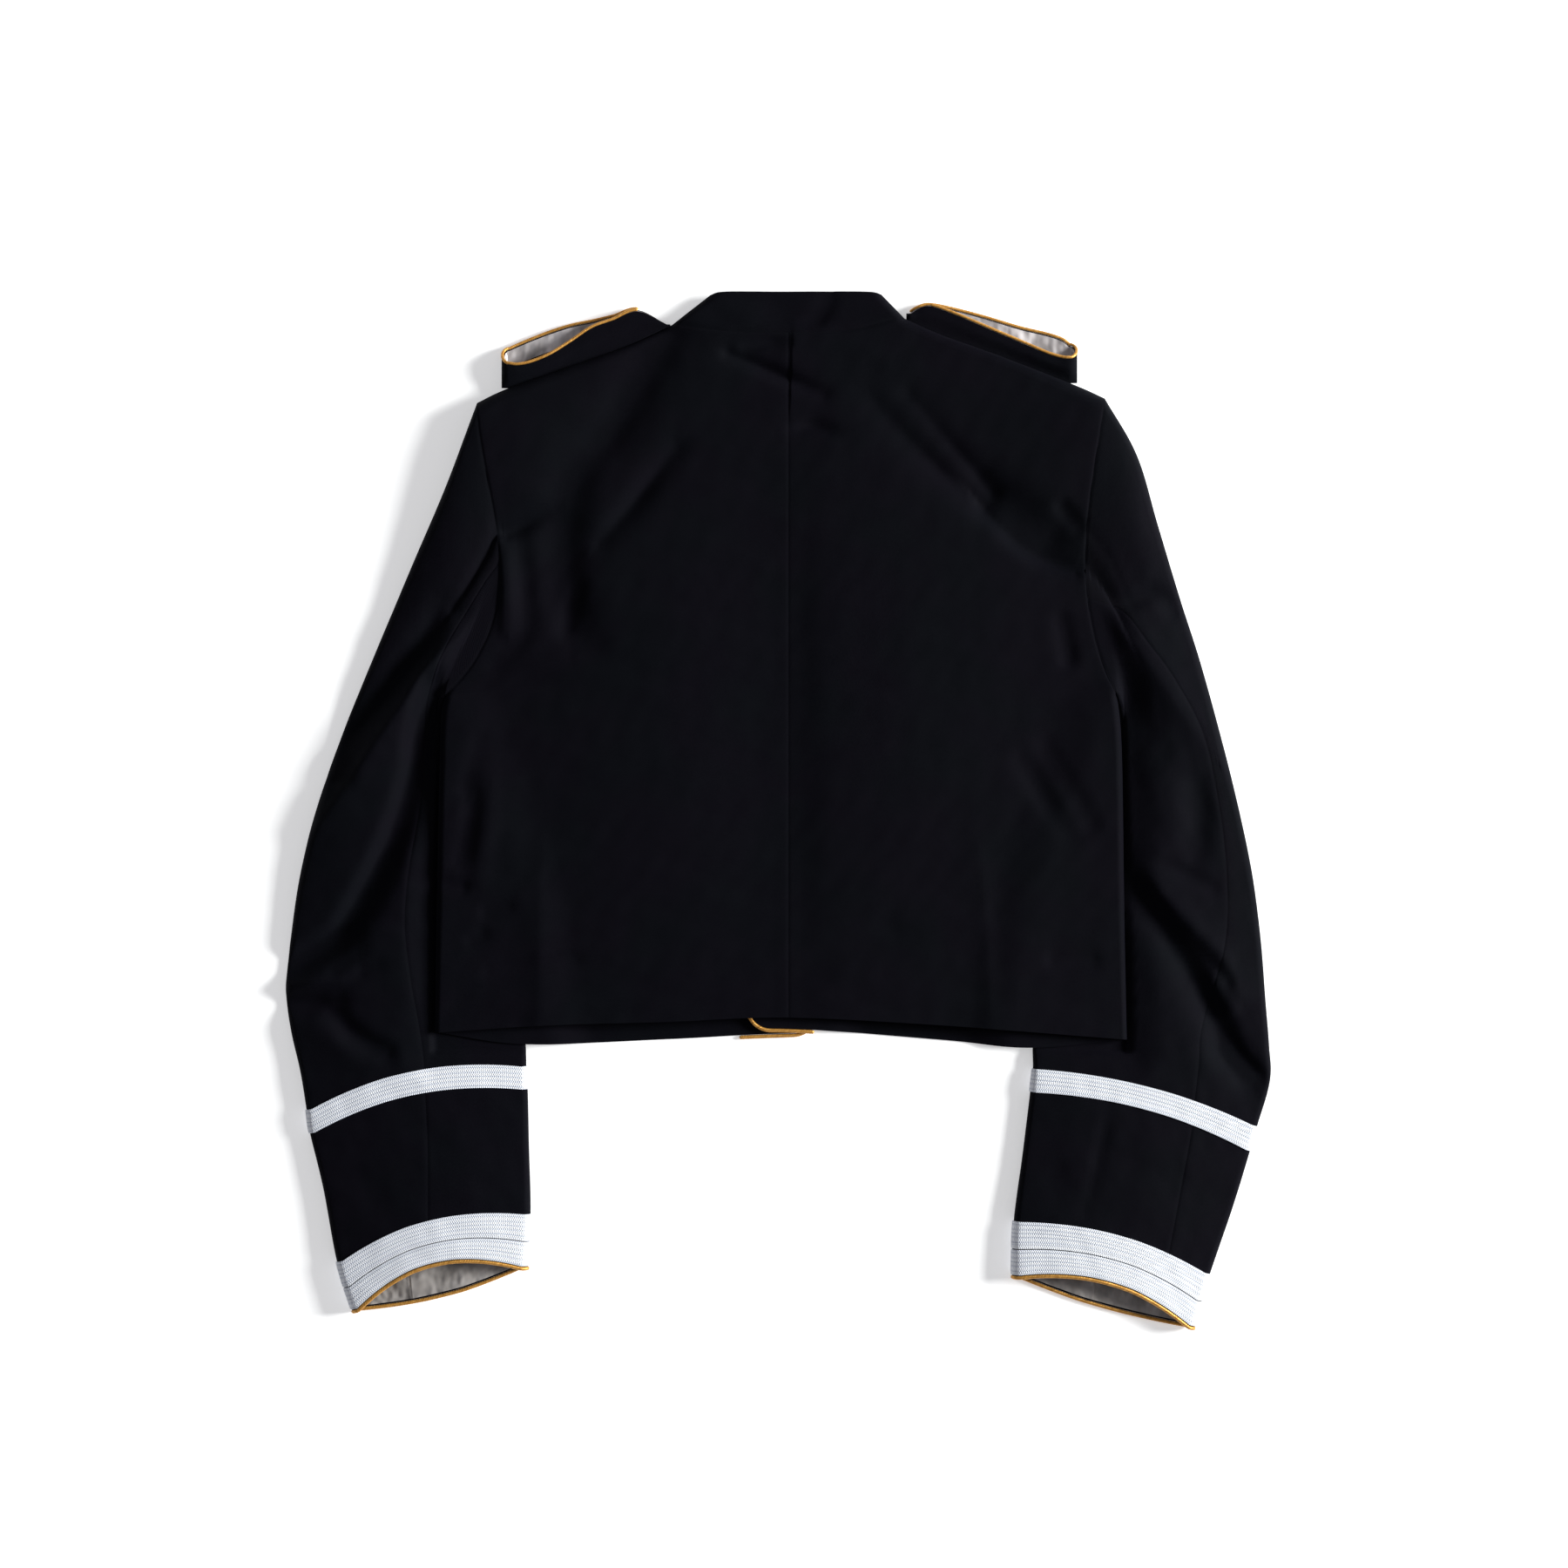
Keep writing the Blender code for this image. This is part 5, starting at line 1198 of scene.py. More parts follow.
@dataclass(frozen=True)
class TwillFinish:
    """Fine, almost black wool-blend twill with a faint cool sheen."""

    name: str = "black_twill"
    deep: Shade = Shade(0.0014, 0.0011, 0.0027)
    light: Shade = Shade(0.0036, 0.0038, 0.0057)
    violet: Shade = Shade(1.0, 0.88, 1.0)
    slate: Shade = Shade(0.86, 1.0, 0.95)
    rib: float = 0.62
    rib_slope: float = 1.6
    rib_depth: float = 0.00007
    yarn_per_cm: float = 42.0
    yarn_depth: float = 0.00012
    grain_per_cm: float = 9.0
    cloud_per_cm: float = 0.9
    cloud_depth: float = 0.00022
    hue_per_cm: float = 0.13
    roughness: float = 0.62
    rough_clouds: float = 0.16

    def material(self) -> Material:
        """The twill: diagonal ribs, their yarn and faint cloudiness of the nap."""
        desk = NodeDesk(self.name)
        place, along, across = desk.weave_uv()
        slant = desk.math("ADD", along, desk.math("MULTIPLY", across, self.rib_slope))
        turns = math.tau * UV_UNIT / (self.rib * math.hypot(1.0, self.rib_slope))
        ribs = desk.wave(desk.math("MULTIPLY", slant, turns))
        yarn = desk.noise(place, self.yarn_per_cm, 3.0)
        cloud = desk.noise(place, self.cloud_per_cm, 4.0)
        grain = desk.noise(place, self.grain_per_cm)
        weave = desk.total((ribs, 0.45), (yarn, 0.55))
        mixed = desk.total((weave, 0.5), (grain, 0.4), (cloud, 0.2))
        body = desk.ramp(mixed, ((0.28, self.deep), (0.78, self.light)))
        patches = desk.noise(place, self.hue_per_cm, 3.0)
        colour = desk.multiply(body, desk.ramp(patches, ((0.40, self.violet), (0.60, self.slate))))
        rough = desk.math("ADD", self.roughness, desk.math("MULTIPLY", cloud, self.rough_clouds))
        normal = desk.bump(cloud, self.cloud_depth)
        normal = desk.bump(ribs, self.rib_depth, normal)
        normal = desk.bump(yarn, self.yarn_depth, normal)
        return desk.finish(Base_Color=colour, Roughness=rough, Normal=normal, Sheen_Weight=0.02,
                           Sheen_Roughness=0.42, Sheen_Tint=(0.66, 0.68, 0.9, 1.0), Specular_IOR_Level=0.03)


@dataclass(frozen=True)
class BraidFinish:
    """White military braid: fine warp lines in three stripes with a zigzag rib between them."""

    name: str = "white_braid"
    width: float = 16.5
    white: Shade = Shade(0.84, 0.86, 0.90)
    line: Shade = Shade(0.34, 0.39, 0.50)
    shade: Shade = Shade(0.58, 0.62, 0.72)
    weave_low: Shade = Shade(0.66, 0.68, 0.74)
    weave_high: Shade = Shade(1.0, 1.0, 1.0)
    zigzag_turns: float = 44.0
    zigzag_swing: float = 3.2
    zigzag_height: float = 1.4
    rib_depth: float = 0.00026
    thread_per_cm: float = 30.0
    thread_depth: float = 0.0001

    def material(self) -> Material:
        """The braid, drawn from its own coordinates along and across."""
        desk = NodeDesk(self.name)
        place, along, across = desk.weave_uv()
        middle = self.width / UV_UNIT / 2
        off = desk.math("ABSOLUTE", desk.math("SUBTRACT", across, middle))
        share = desk.math("DIVIDE", off, middle)
        bright, grey, soft = self.white, self.line, self.shade
        lines = desk.ramp(share, (
            (0.0, grey), (0.05, bright), (0.27, bright), (0.30, grey), (0.33, bright), (0.40, soft),
            (0.43, bright), (0.66, bright), (0.69, soft), (0.72, bright), (0.78, grey), (0.81, bright),
            (0.90, bright), (0.94, soft), (1.0, bright),
        ))
        fold = desk.math("PINGPONG", desk.math("MULTIPLY", across, UV_UNIT), self.zigzag_height)
        rib = desk.wave(desk.total((along, self.zigzag_turns), (fold, self.zigzag_swing)))
        thread = desk.noise(place, self.thread_per_cm)
        tone = desk.total((rib, 0.65), (thread, 0.5))
        weave = desk.ramp(tone, ((0.15, self.weave_low), (0.60, self.weave_high)))
        normal = desk.bump(rib, self.rib_depth)
        normal = desk.bump(thread, self.thread_depth, normal)
        return desk.finish(Base_Color=desk.multiply(lines, weave), Roughness=0.58, Normal=normal,
                           Sheen_Weight=0.15, Sheen_Roughness=0.4)


@dataclass(frozen=True)
class CordFinish:
    """Twisted gold cord: metallic thread laid over a yarn core."""

    name: str = "gold_cord"
    deep: Shade = Shade(0.15, 0.055, 0.006)
    gold: Shade = Shade(0.55, 0.25, 0.04)
    pale: Shade = Shade(0.82, 0.46, 0.12)
    threads_per_cm: tuple[float, float, float] = (6.0, 48.0, 1.0)
    thread_depth: float = 0.0001
    patches_per_cm: float = 3.0

    def material(self) -> Material:
        """The cord, with its thread along the twist."""
        desk = NodeDesk(self.name)
        place, _, _ = desk.weave_uv()
        stretch = desk.node("Mapping")
        stretch.inputs["Scale"].default_value = self.threads_per_cm
        desk.join(place, stretch.inputs["Vector"])
        thread = desk.noise(stretch.outputs[0], 1.0)
        tone = desk.total((thread, 0.6), (desk.noise(place, self.patches_per_cm), 0.4))
        colour = desk.ramp(tone, ((0.30, self.deep), (0.46, self.gold), (0.68, self.pale)))
        return desk.finish(Base_Color=colour, Roughness=0.40, Metallic=0.55,
                           Normal=desk.bump(thread, self.thread_depth))


@dataclass(frozen=True)
class SatinFinish:
    """Warm grey lining satin, with soft crumples and fine thread."""

    name: str = "grey_satin"
    deep: Shade = Shade(0.17, 0.155, 0.145)
    light: Shade = Shade(0.34, 0.315, 0.30)
    cloud_per_cm: float = 0.7
    crumples_per_cm: float = 1.1
    crumple_depth: float = 0.003
    threads_per_cm: float = 45.0
    thread_depth: float = 0.00001

    def material(self) -> Material:
        """The satin, cloudy, crumpled and shiny along its thread."""
        desk = NodeDesk(self.name)
        place, _, _ = desk.weave_uv()
        cloud = desk.noise(place, self.cloud_per_cm)
        colour = desk.ramp(cloud, ((0.35, self.deep), (0.65, self.light)))
        normal = desk.bump(desk.noise(place, self.crumples_per_cm, 1.0), self.crumple_depth)
        normal = desk.bump(desk.noise(place, self.threads_per_cm, 1.0), self.thread_depth, normal)
        return desk.finish(Base_Color=colour, Roughness=0.27, Normal=normal, Anisotropic=0.5,
                           Specular_IOR_Level=0.9, Sheen_Weight=0.1)


@dataclass
class Finishes:
    """Every finish of the jacket, made once."""

    def __post_init__(self) -> None:
        """Makes the materials."""
        self.twill = TwillFinish().material()
        self.braid = BraidFinish().material()
        self.cord = CordFinish().material()
        self.satin = SatinFinish().material()
        # Painted light: the loop lining is the same grey satin as the cuff lining, only given lighter tones
        # to stand in for how differently the two are lit.
        pale = SatinFinish("pale_satin", Shade(0.26, 0.24, 0.24), Shade(0.66, 0.62, 0.63))
        self.loop_satin = pale.material()


@dataclass
class ClothMesh:
    """A wall of cloth between two matching grids of points, closed round its edges.

    The grids have a column for each place across and a row for each place up. A ring is closed from
    its last column to its first.
    """

    outer: Grid
    inner: Grid
    ring: bool = False
    sharp_degrees: float = 55.0

    def weave(self) -> Grid:
        """The cloth's own coordinates: its length across and up, in millimetres over the unit."""
        across = np.linalg.norm(np.diff(self.outer, axis=0), axis=-1).mean(axis=1)
        up = np.linalg.norm(np.diff(self.outer, axis=1), axis=-1).mean(axis=0)
        last = np.linalg.norm(self.outer[0] - self.outer[-1], axis=-1).mean() if self.ring else 0.0
        across = np.concatenate([[0.0], np.cumsum(across), [across.sum() + last]])
        up = np.concatenate([[0.0], np.cumsum(up)])
        columns = len(self.outer) + 1
        return np.stack([np.broadcast_to(across[:columns, None], (columns, len(up))),
                         np.broadcast_to(up[None, :], (columns, len(up)))], axis=-1) / UV_UNIT

    def flat_size(self) -> tuple[float, float, float]:
        """Greatest length across and up, in metres, and the area in square metres."""
        closed = np.concatenate([self.outer, self.outer[:1]]) if self.ring else self.outer
        across = np.linalg.norm(np.diff(closed, axis=0), axis=-1).sum(axis=0).max()
        up = np.linalg.norm(np.diff(closed, axis=1), axis=-1).sum(axis=1).max()
        a, b, c, d = closed[:-1, :-1], closed[1:, :-1], closed[1:, 1:], closed[:-1, 1:]
        halves = (np.cross(b - a, c - a), np.cross(c - a, d - a))
        area = sum(np.linalg.norm(half, axis=-1) for half in halves).sum() / 2
        return across * MM, up * MM, area * MM * MM

    def faces(self) -> tuple[Grid, Grid]:
        """Corners of every face, as vertex numbers and as places in the weave's grid."""
        columns, rows = self.outer.shape[:2]
        last = columns if self.ring else columns - 1
        corners = face_corners(last, rows - 1)
        size = columns * rows
        grid = np.stack([(a % columns) * rows + b for a, b in corners], axis=1)
        place = np.stack([a * rows + b for a, b in corners], axis=1)
        quads, places = [grid, grid[:, ::-1] + size], [place, place[:, ::-1]]
        for row, turn in ((0, 1), (rows - 1, -1)):
            j = np.arange(last)
            near, far = (j % columns) * rows + row, ((j + 1) % columns) * rows + row
            quads.append(np.stack([near, near + size, far + size, far], axis=1)[:, ::turn])
            first, second = j * rows + row, (j + 1) * rows + row
            places.append(np.stack([first, first, second, second], axis=1)[:, ::turn])
        if not self.ring:
            for column, turn in ((0, -1), (columns - 1, 1)):
                j = column * rows + np.arange(rows - 1)
                quads.append(np.stack([j, j + size, j + 1 + size, j + 1], axis=1)[:, ::turn])
                places.append(np.stack([j, j, j + 1, j + 1], axis=1)[:, ::turn])
        return np.concatenate(quads), np.concatenate(places)

    def build(self, name: str, material: Material) -> Piece:
        """The wall as an object.

        Args:
            name: the piece's name.
            material: its finish.

        Returns:
            The object, in the scene.
        """
        quads, places = self.faces()
        corner = self.outer[:-1, :-1]
        normal = np.cross(self.outer[1:, :-1] - corner, self.outer[:-1, 1:] - corner)
        outward = corner - self.inner[:-1, :-1]
        if (normal * outward).sum() < 0:
            quads, places = quads[:, ::-1], places[:, ::-1]
        vertices = np.concatenate([self.outer.reshape(-1, 3), self.inner.reshape(-1, 3)]) * MM
        uv = self.weave().reshape(-1, 2)[places]
        return mesh_object(name, vertices, [(quads, uv)], material, self.sharp_degrees)


def mesh_object(name: str, vertices: Grid, groups: list[tuple[Grid, Grid]], material: Material,
                sharp_degrees: float | None = None) -> Piece:
    """A mesh as an object in the scene.

    Args:
        name: the piece's name.
        vertices: its points in metres.
        groups: faces with one number of sides, each with a coordinate for each of their corners.
        material: its finish.
        sharp_degrees: edges sharper than this stay crisp.

    Returns:
        The object.
    """
    sides = np.concatenate([np.full(len(faces), faces.shape[1]) for faces, _ in groups])
    corners = np.concatenate([faces.ravel() for faces, _ in groups]).astype(np.int32)
    mesh = bpy.data.meshes.new(name)
    mesh.vertices.add(len(vertices))
    mesh.vertices.foreach_set("co", np.ascontiguousarray(vertices, np.float32).ravel())
    mesh.loops.add(len(corners))
    mesh.loops.foreach_set("vertex_index", corners)
    mesh.polygons.add(len(sides))
    mesh.polygons.foreach_set("loop_start", (np.cumsum(sides) - sides).astype(np.int32))
    mesh.update(calc_edges=True)
    layer = mesh.uv_layers.new(name="weave")
    places = np.concatenate([places.reshape(-1, 2) for _, places in groups]).astype(np.float32)
    layer.data.foreach_set("uv", places.ravel())
    mesh.shade_smooth()
    if sharp_degrees is not None:
        mesh.set_sharp_from_angle(angle=math.radians(sharp_degrees))
    mesh.materials.append(material)
    piece = bpy.data.objects.new(name, mesh)
    bpy.context.scene.collection.objects.link(piece)
    return piece


@dataclass
class TwistedCord:
    """A cord of a few plies twisted together along a line.

    The pitch is the length of one turn of a ply. The groove is the depth between two plies, as a share
    of the radius, and a ply is fuller the lower its roundness is. Where the cord stands nearly upright,
    its sides are set from another direction, and its tips are rounded down to a small share.
    """

    line: Grid
    radius: float
    plies: int = 3
    pitch: float = 5.2
    spacing: float = 0.5
    sides: int = 18
    groove: float = 0.22
    roundness: float = 0.8
    fineness: int = 12
    steep: float = 0.05
    tip: float = 0.02

    def build(self, name: str, material: Material) -> Piece:
        """The cord as an object, with its ends closed.

        Args:
            name: the piece's name.
            material: its finish.

        Returns:
            The object, in the scene.
        """
        fine = spline_rows(self.line, np.linspace(0, len(self.line) - 1, len(self.line) * self.fineness))
        run = run_lengths(fine)
        count = int(run[-1] / self.spacing) + 1
        places = np.linspace(0, run[-1], count)
        centre = read_along(fine, run, places)
        ahead = unit(np.gradient(centre, axis=0))
        side = np.cross(ahead, np.array([0.0, 0.0, 1.0]))
        steep = np.linalg.norm(side, axis=1) < self.steep
        side[steep] = np.cross(ahead[steep], np.array([0.0, 1.0, 0.0]))
        side = unit(side)
        for i in range(1, count):
            side[i] = unit(side[i - 1] - ahead[i] * (side[i - 1] @ ahead[i]))
        up = np.cross(side, ahead)
        angles = np.linspace(0, math.tau, self.sides, endpoint=False)
        turn = angles[None, :] - math.tau * places[:, None] / self.pitch
        lobes = np.abs(np.cos(turn * self.plies / 2)) ** self.roundness
        reach = self.radius * (1 - self.groove + self.groove * lobes)
        ends = np.minimum(np.minimum(places, run[-1] - places) / self.radius, 1.0)
        reach = reach * np.sqrt(np.clip(1 - (1 - ends) ** 2, self.tip, 1.0))[:, None]
        around = side[:, None] * np.cos(angles)[None, :, None] + up[:, None] * np.sin(angles)[None, :, None]
        points = (centre[:, None] + around * reach[..., None]).reshape(-1, 3)
        corners = face_corners(count - 1, self.sides)
        quads = np.stack([a * self.sides + b % self.sides for a, b in corners], axis=1)
        girth = self.radius * math.tau
        uv = [np.stack([places[a], b * girth / self.sides - places[a] * girth / self.pitch], axis=-1)
              for a, b in corners]
        uv = np.stack(uv, axis=1) / UV_UNIT
        ring = np.arange(self.sides)
        base = (count - 1) * self.sides
        ends = np.stack([ring, ring[::-1] + base])
        groups = [(quads, uv), (ends, np.zeros((2, self.sides, 2)))]
        return mesh_object(name, points * MM, groups, material)


def patch(bottom: Line, top: Line, inner: Line, outer: Line, across: Grid, up: Grid) -> Grid:
    """Plan points of a grid between four lines.

    Args:
        bottom: the line below it, from its inner to its outer end.
        top: the line above it.
        inner: the line at its inner end, from the bottom up.
        outer: the line at its outer end.
        across: shares across the grid.
        up: shares up it.

    Returns:
        The points, one column for each share across.
    """
    u, v = across[:, None, None], up[None, :, None]
    low, high = bottom(across)[:, None, :], top(across)[:, None, :]
    near, far = inner(up)[None, :, :], outer(up)[None, :, :]
    low_corners = (1 - u) * low[:1] + u * low[-1:]
    high_corners = (1 - u) * high[:1] + u * high[-1:]
    corners = (1 - v) * low_corners + v * high_corners
    return (1 - v) * low + v * high + (1 - u) * near + u * far - corners


def joined(first: Line, second: Line, split: float) -> Line:
    """Two lines as one.

    Args:
        first: the line up to the share split.
        second: the line from there on.
        split: the share at which they meet.

    Returns:
        The joined line.
    """

    def at(share: Grid) -> Grid:
        """Points of the joined line."""
        share = np.asarray(share, float)[:, None]
        early = first(np.clip(share[:, 0] / split, 0, 1))
        late = second(np.clip((share[:, 0] - split) / (1 - split), 0, 1))
        return np.where(share < split, early, late)

    return at


@dataclass(frozen=True)
class Spread:
    """How a panel's columns or rows lie on the two parts of its edge, crowding at its far ends."""

    counts: tuple[int, int]
    crowding: tuple[float, float]
    reaches: tuple[float, float]

    def shares(self, split: float) -> Grid:
        """Shares of the whole edge, whose two parts meet at the share split."""
        first = dense_shares(self.counts[0], low=self.crowding[0], reach=self.reaches[0])
        second = dense_shares(self.counts[1], high=self.crowding[1], reach=self.reaches[1])
        return np.concatenate([first * split, split + (1 - split) * second[1:]])


def add(node: str, form: ClothMesh | TwistedCord, finish: Material) -> None:
    """Builds a piece in the place of a node and tells the frame what it is.

    Args:
        node: the node that it stands for.
        form: the wall or the cord that it is made of.
        finish: its material.
    """
    piece = form.build(f"{node}_look", finish)
    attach(piece, "root")
    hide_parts(node)
    if isinstance(form, ClothMesh):
        width, length, area = form.flat_size()
        LOG.info("%s: flat %.0f x %.0f mm, %.0f cm2", piece.name, width * 1e3, length * 1e3, area * 1e4)


@dataclass
class Body:
    """The two halves of the back, the two fronts and the cords on the fronts' edges."""

    form: BodyForm
    finishes: Finishes
    underarm_share: float = 0.48
    neck_share: float = 0.40
    back_columns: Spread = Spread((46, 94), (3.0, 5.0), (0.06, 0.04))
    back_rows: Spread = Spread((92, 104), (2.0, 5.0), (0.03, 0.03))
    front_columns: Spread = Spread((34, 44), (2.0, 5.0), (0.05, 0.05))
    front_rows: Spread = Spread((52, 56), (3.0, 5.0), (0.05, 0.04))
    ditch: float = 0.42
    centre_ditch: float = 0.231
    ditch_width: float = 1.0
    allowance: float = 0.10
    centre_pressed: float = 9.0
    armhole_pressed: float = 7.0
    neck_pressed: float = 6.0
    hem_ripple: float = 0.35
    hem_turned: float = 14.0
    hem_ripple_width: float = 5.0
    hem_ripple_length: float = 17.0
    cord_rest: float = 0.2

    def outer_edge(self, side: Side) -> Line:
        """The side seam and then the armhole, as one line up the panel."""
        armhole = partial(self.form.armhole, side)
        return joined(self.form.sides[side].at, armhole, self.underarm_share)

    def panel(self, side: Side, layer: Layer, bottom: Line, columns: Spread, rows: Spread) -> Grid:
        """Plan points of one panel above its bottom line.

        Args:
            side: the wearer's side.
            layer: the back or the front.
            bottom: its lower edge, from the inner end outwards.
            columns: how its columns lie below the neck and the shoulder.
            rows: how its rows lie beside the side seam and the armhole.

        Returns:
            The points.
        """
        shoulder = self.form.shoulders[side]
        top = joined(self.form.half_neck(side, layer), shoulder.stretch(1.0, 0.0), self.neck_share)
        low, high = bottom(np.zeros(1))[0], top(np.zeros(1))[0]
        inner = Outline(np.stack([low, high]), steps=1).at
        across, up = columns.shares(self.neck_share), rows.shares(self.underarm_share)
        return patch(bottom, top, inner, self.outer_edge(side), across, up)

    def seam_relief(self, xy: Grid, side: Side) -> Grid:
        """The seams' ditches, the ridges of their allowances and the turned hem's ripple.

        Args:
            xy: plan points of one half of the back.
            side: which half.

        Returns:
            The height that they add.
        """
        neck = Outline(self.form.half_neck(side, Layer.BACK)(np.linspace(0, 1, 60)), steps=1)
        total = np.zeros(xy.shape[:-1])
        for gap, pressed, ditch in (
            (np.abs(xy[..., 0] - self.form.centre_x), self.centre_pressed, self.centre_ditch),
            (self.form.armhole_line(side).nearest(xy)[0], self.armhole_pressed, self.ditch),
            (neck.nearest(xy)[0], self.neck_pressed, self.ditch),
        ):
            total -= ditch * bell(gap, self.ditch_width)
            total += self.allowance * bell(gap - pressed / 2, pressed / 2)
        hem = Outline(BACK_HEM).nearest(xy)[0]
        wave = np.sin(xy[..., 0] / self.hem_ripple_length) ** 2
        return total + self.hem_ripple * bell(hem - self.hem_turned, self.hem_ripple_width) * wave

    def back(self, side: Side) -> ClothMesh:
        """One half of the back, from the centre seam to the side seam and the armhole.

        Args:
            side: which half.

        Returns:
            Its wall.
        """
        hem = Outline(BACK_HEM)
        bottom = hem.stretch(hem.share_at_x(self.form.centre_x), side.end_share)
        xy = self.panel(side, Layer.BACK, bottom, self.back_columns, self.back_rows)
        points, facing = self.form.point(xy, Layer.BACK)
        points[..., 2] += self.seam_relief(xy, side) * np.clip(facing[..., 2], 0.0, 1.0)
        return ClothMesh(points, points - facing * STOCK.cloth)

    def front(self, side: Side) -> ClothMesh:
        """One front, from its free edge to the side seam and the armhole.

        Args:
            side: which front.

        Returns:
            Its wall.
        """
        bottom = self.form.front_bottom(side).at
        xy = self.panel(side, Layer.FRONT, bottom, self.front_columns, self.front_rows)
        over = self.form.lap_lift(xy) if side == Side.RIGHT else 0.0
        points, facing = self.form.point(xy, Layer.FRONT, over)
        return ClothMesh(points, points - facing * STOCK.cloth)

    def cord_line(self, side: Side) -> Grid:
        """Centre line of the cord down one front edge, round its corner and along the hem.

        Args:
            side: which front.

        Returns:
            The line's points.
        """
        form, radius = self.form, STOCK.cord_radius
        bottom = form.front_bottom(side)
        edge_x = form.front_edges[side]
        neck_y = Outline(FRONT_NECK).y_at(edge_x)
        run = (math.pi / 2 * form.hem_corner + HEM_CORD_RUN[side]) / bottom.length
        low = bottom.at(np.linspace(0.0, run, 30))
        straight = np.linspace(neck_y - 2.0, low[0, 1], 90)[:-1]
        edge = np.vstack([np.column_stack([np.full(len(straight), edge_x), straight]), low])
        along = unit(np.gradient(edge, axis=0))
        outward = side * np.column_stack([along[:, 1], -along[:, 0]])
        over = form.lap_clearance + STOCK.cloth / 2 if side == Side.RIGHT else radius + self.cord_rest
        return raised(edge + outward * (radius + STOCK.gap), np.full(len(edge), over))

    def build(self) -> None:
        """Builds the body's six pieces."""
        for side in Side:
            add(f"back_{side.word}", self.back(side), self.finishes.twill)
            add(f"front_{side.word}", self.front(side), self.finishes.twill)
            cord = TwistedCord(self.cord_line(side), STOCK.cord_radius)
            add(f"front_cord_{side.word}", cord, self.finishes.cord)


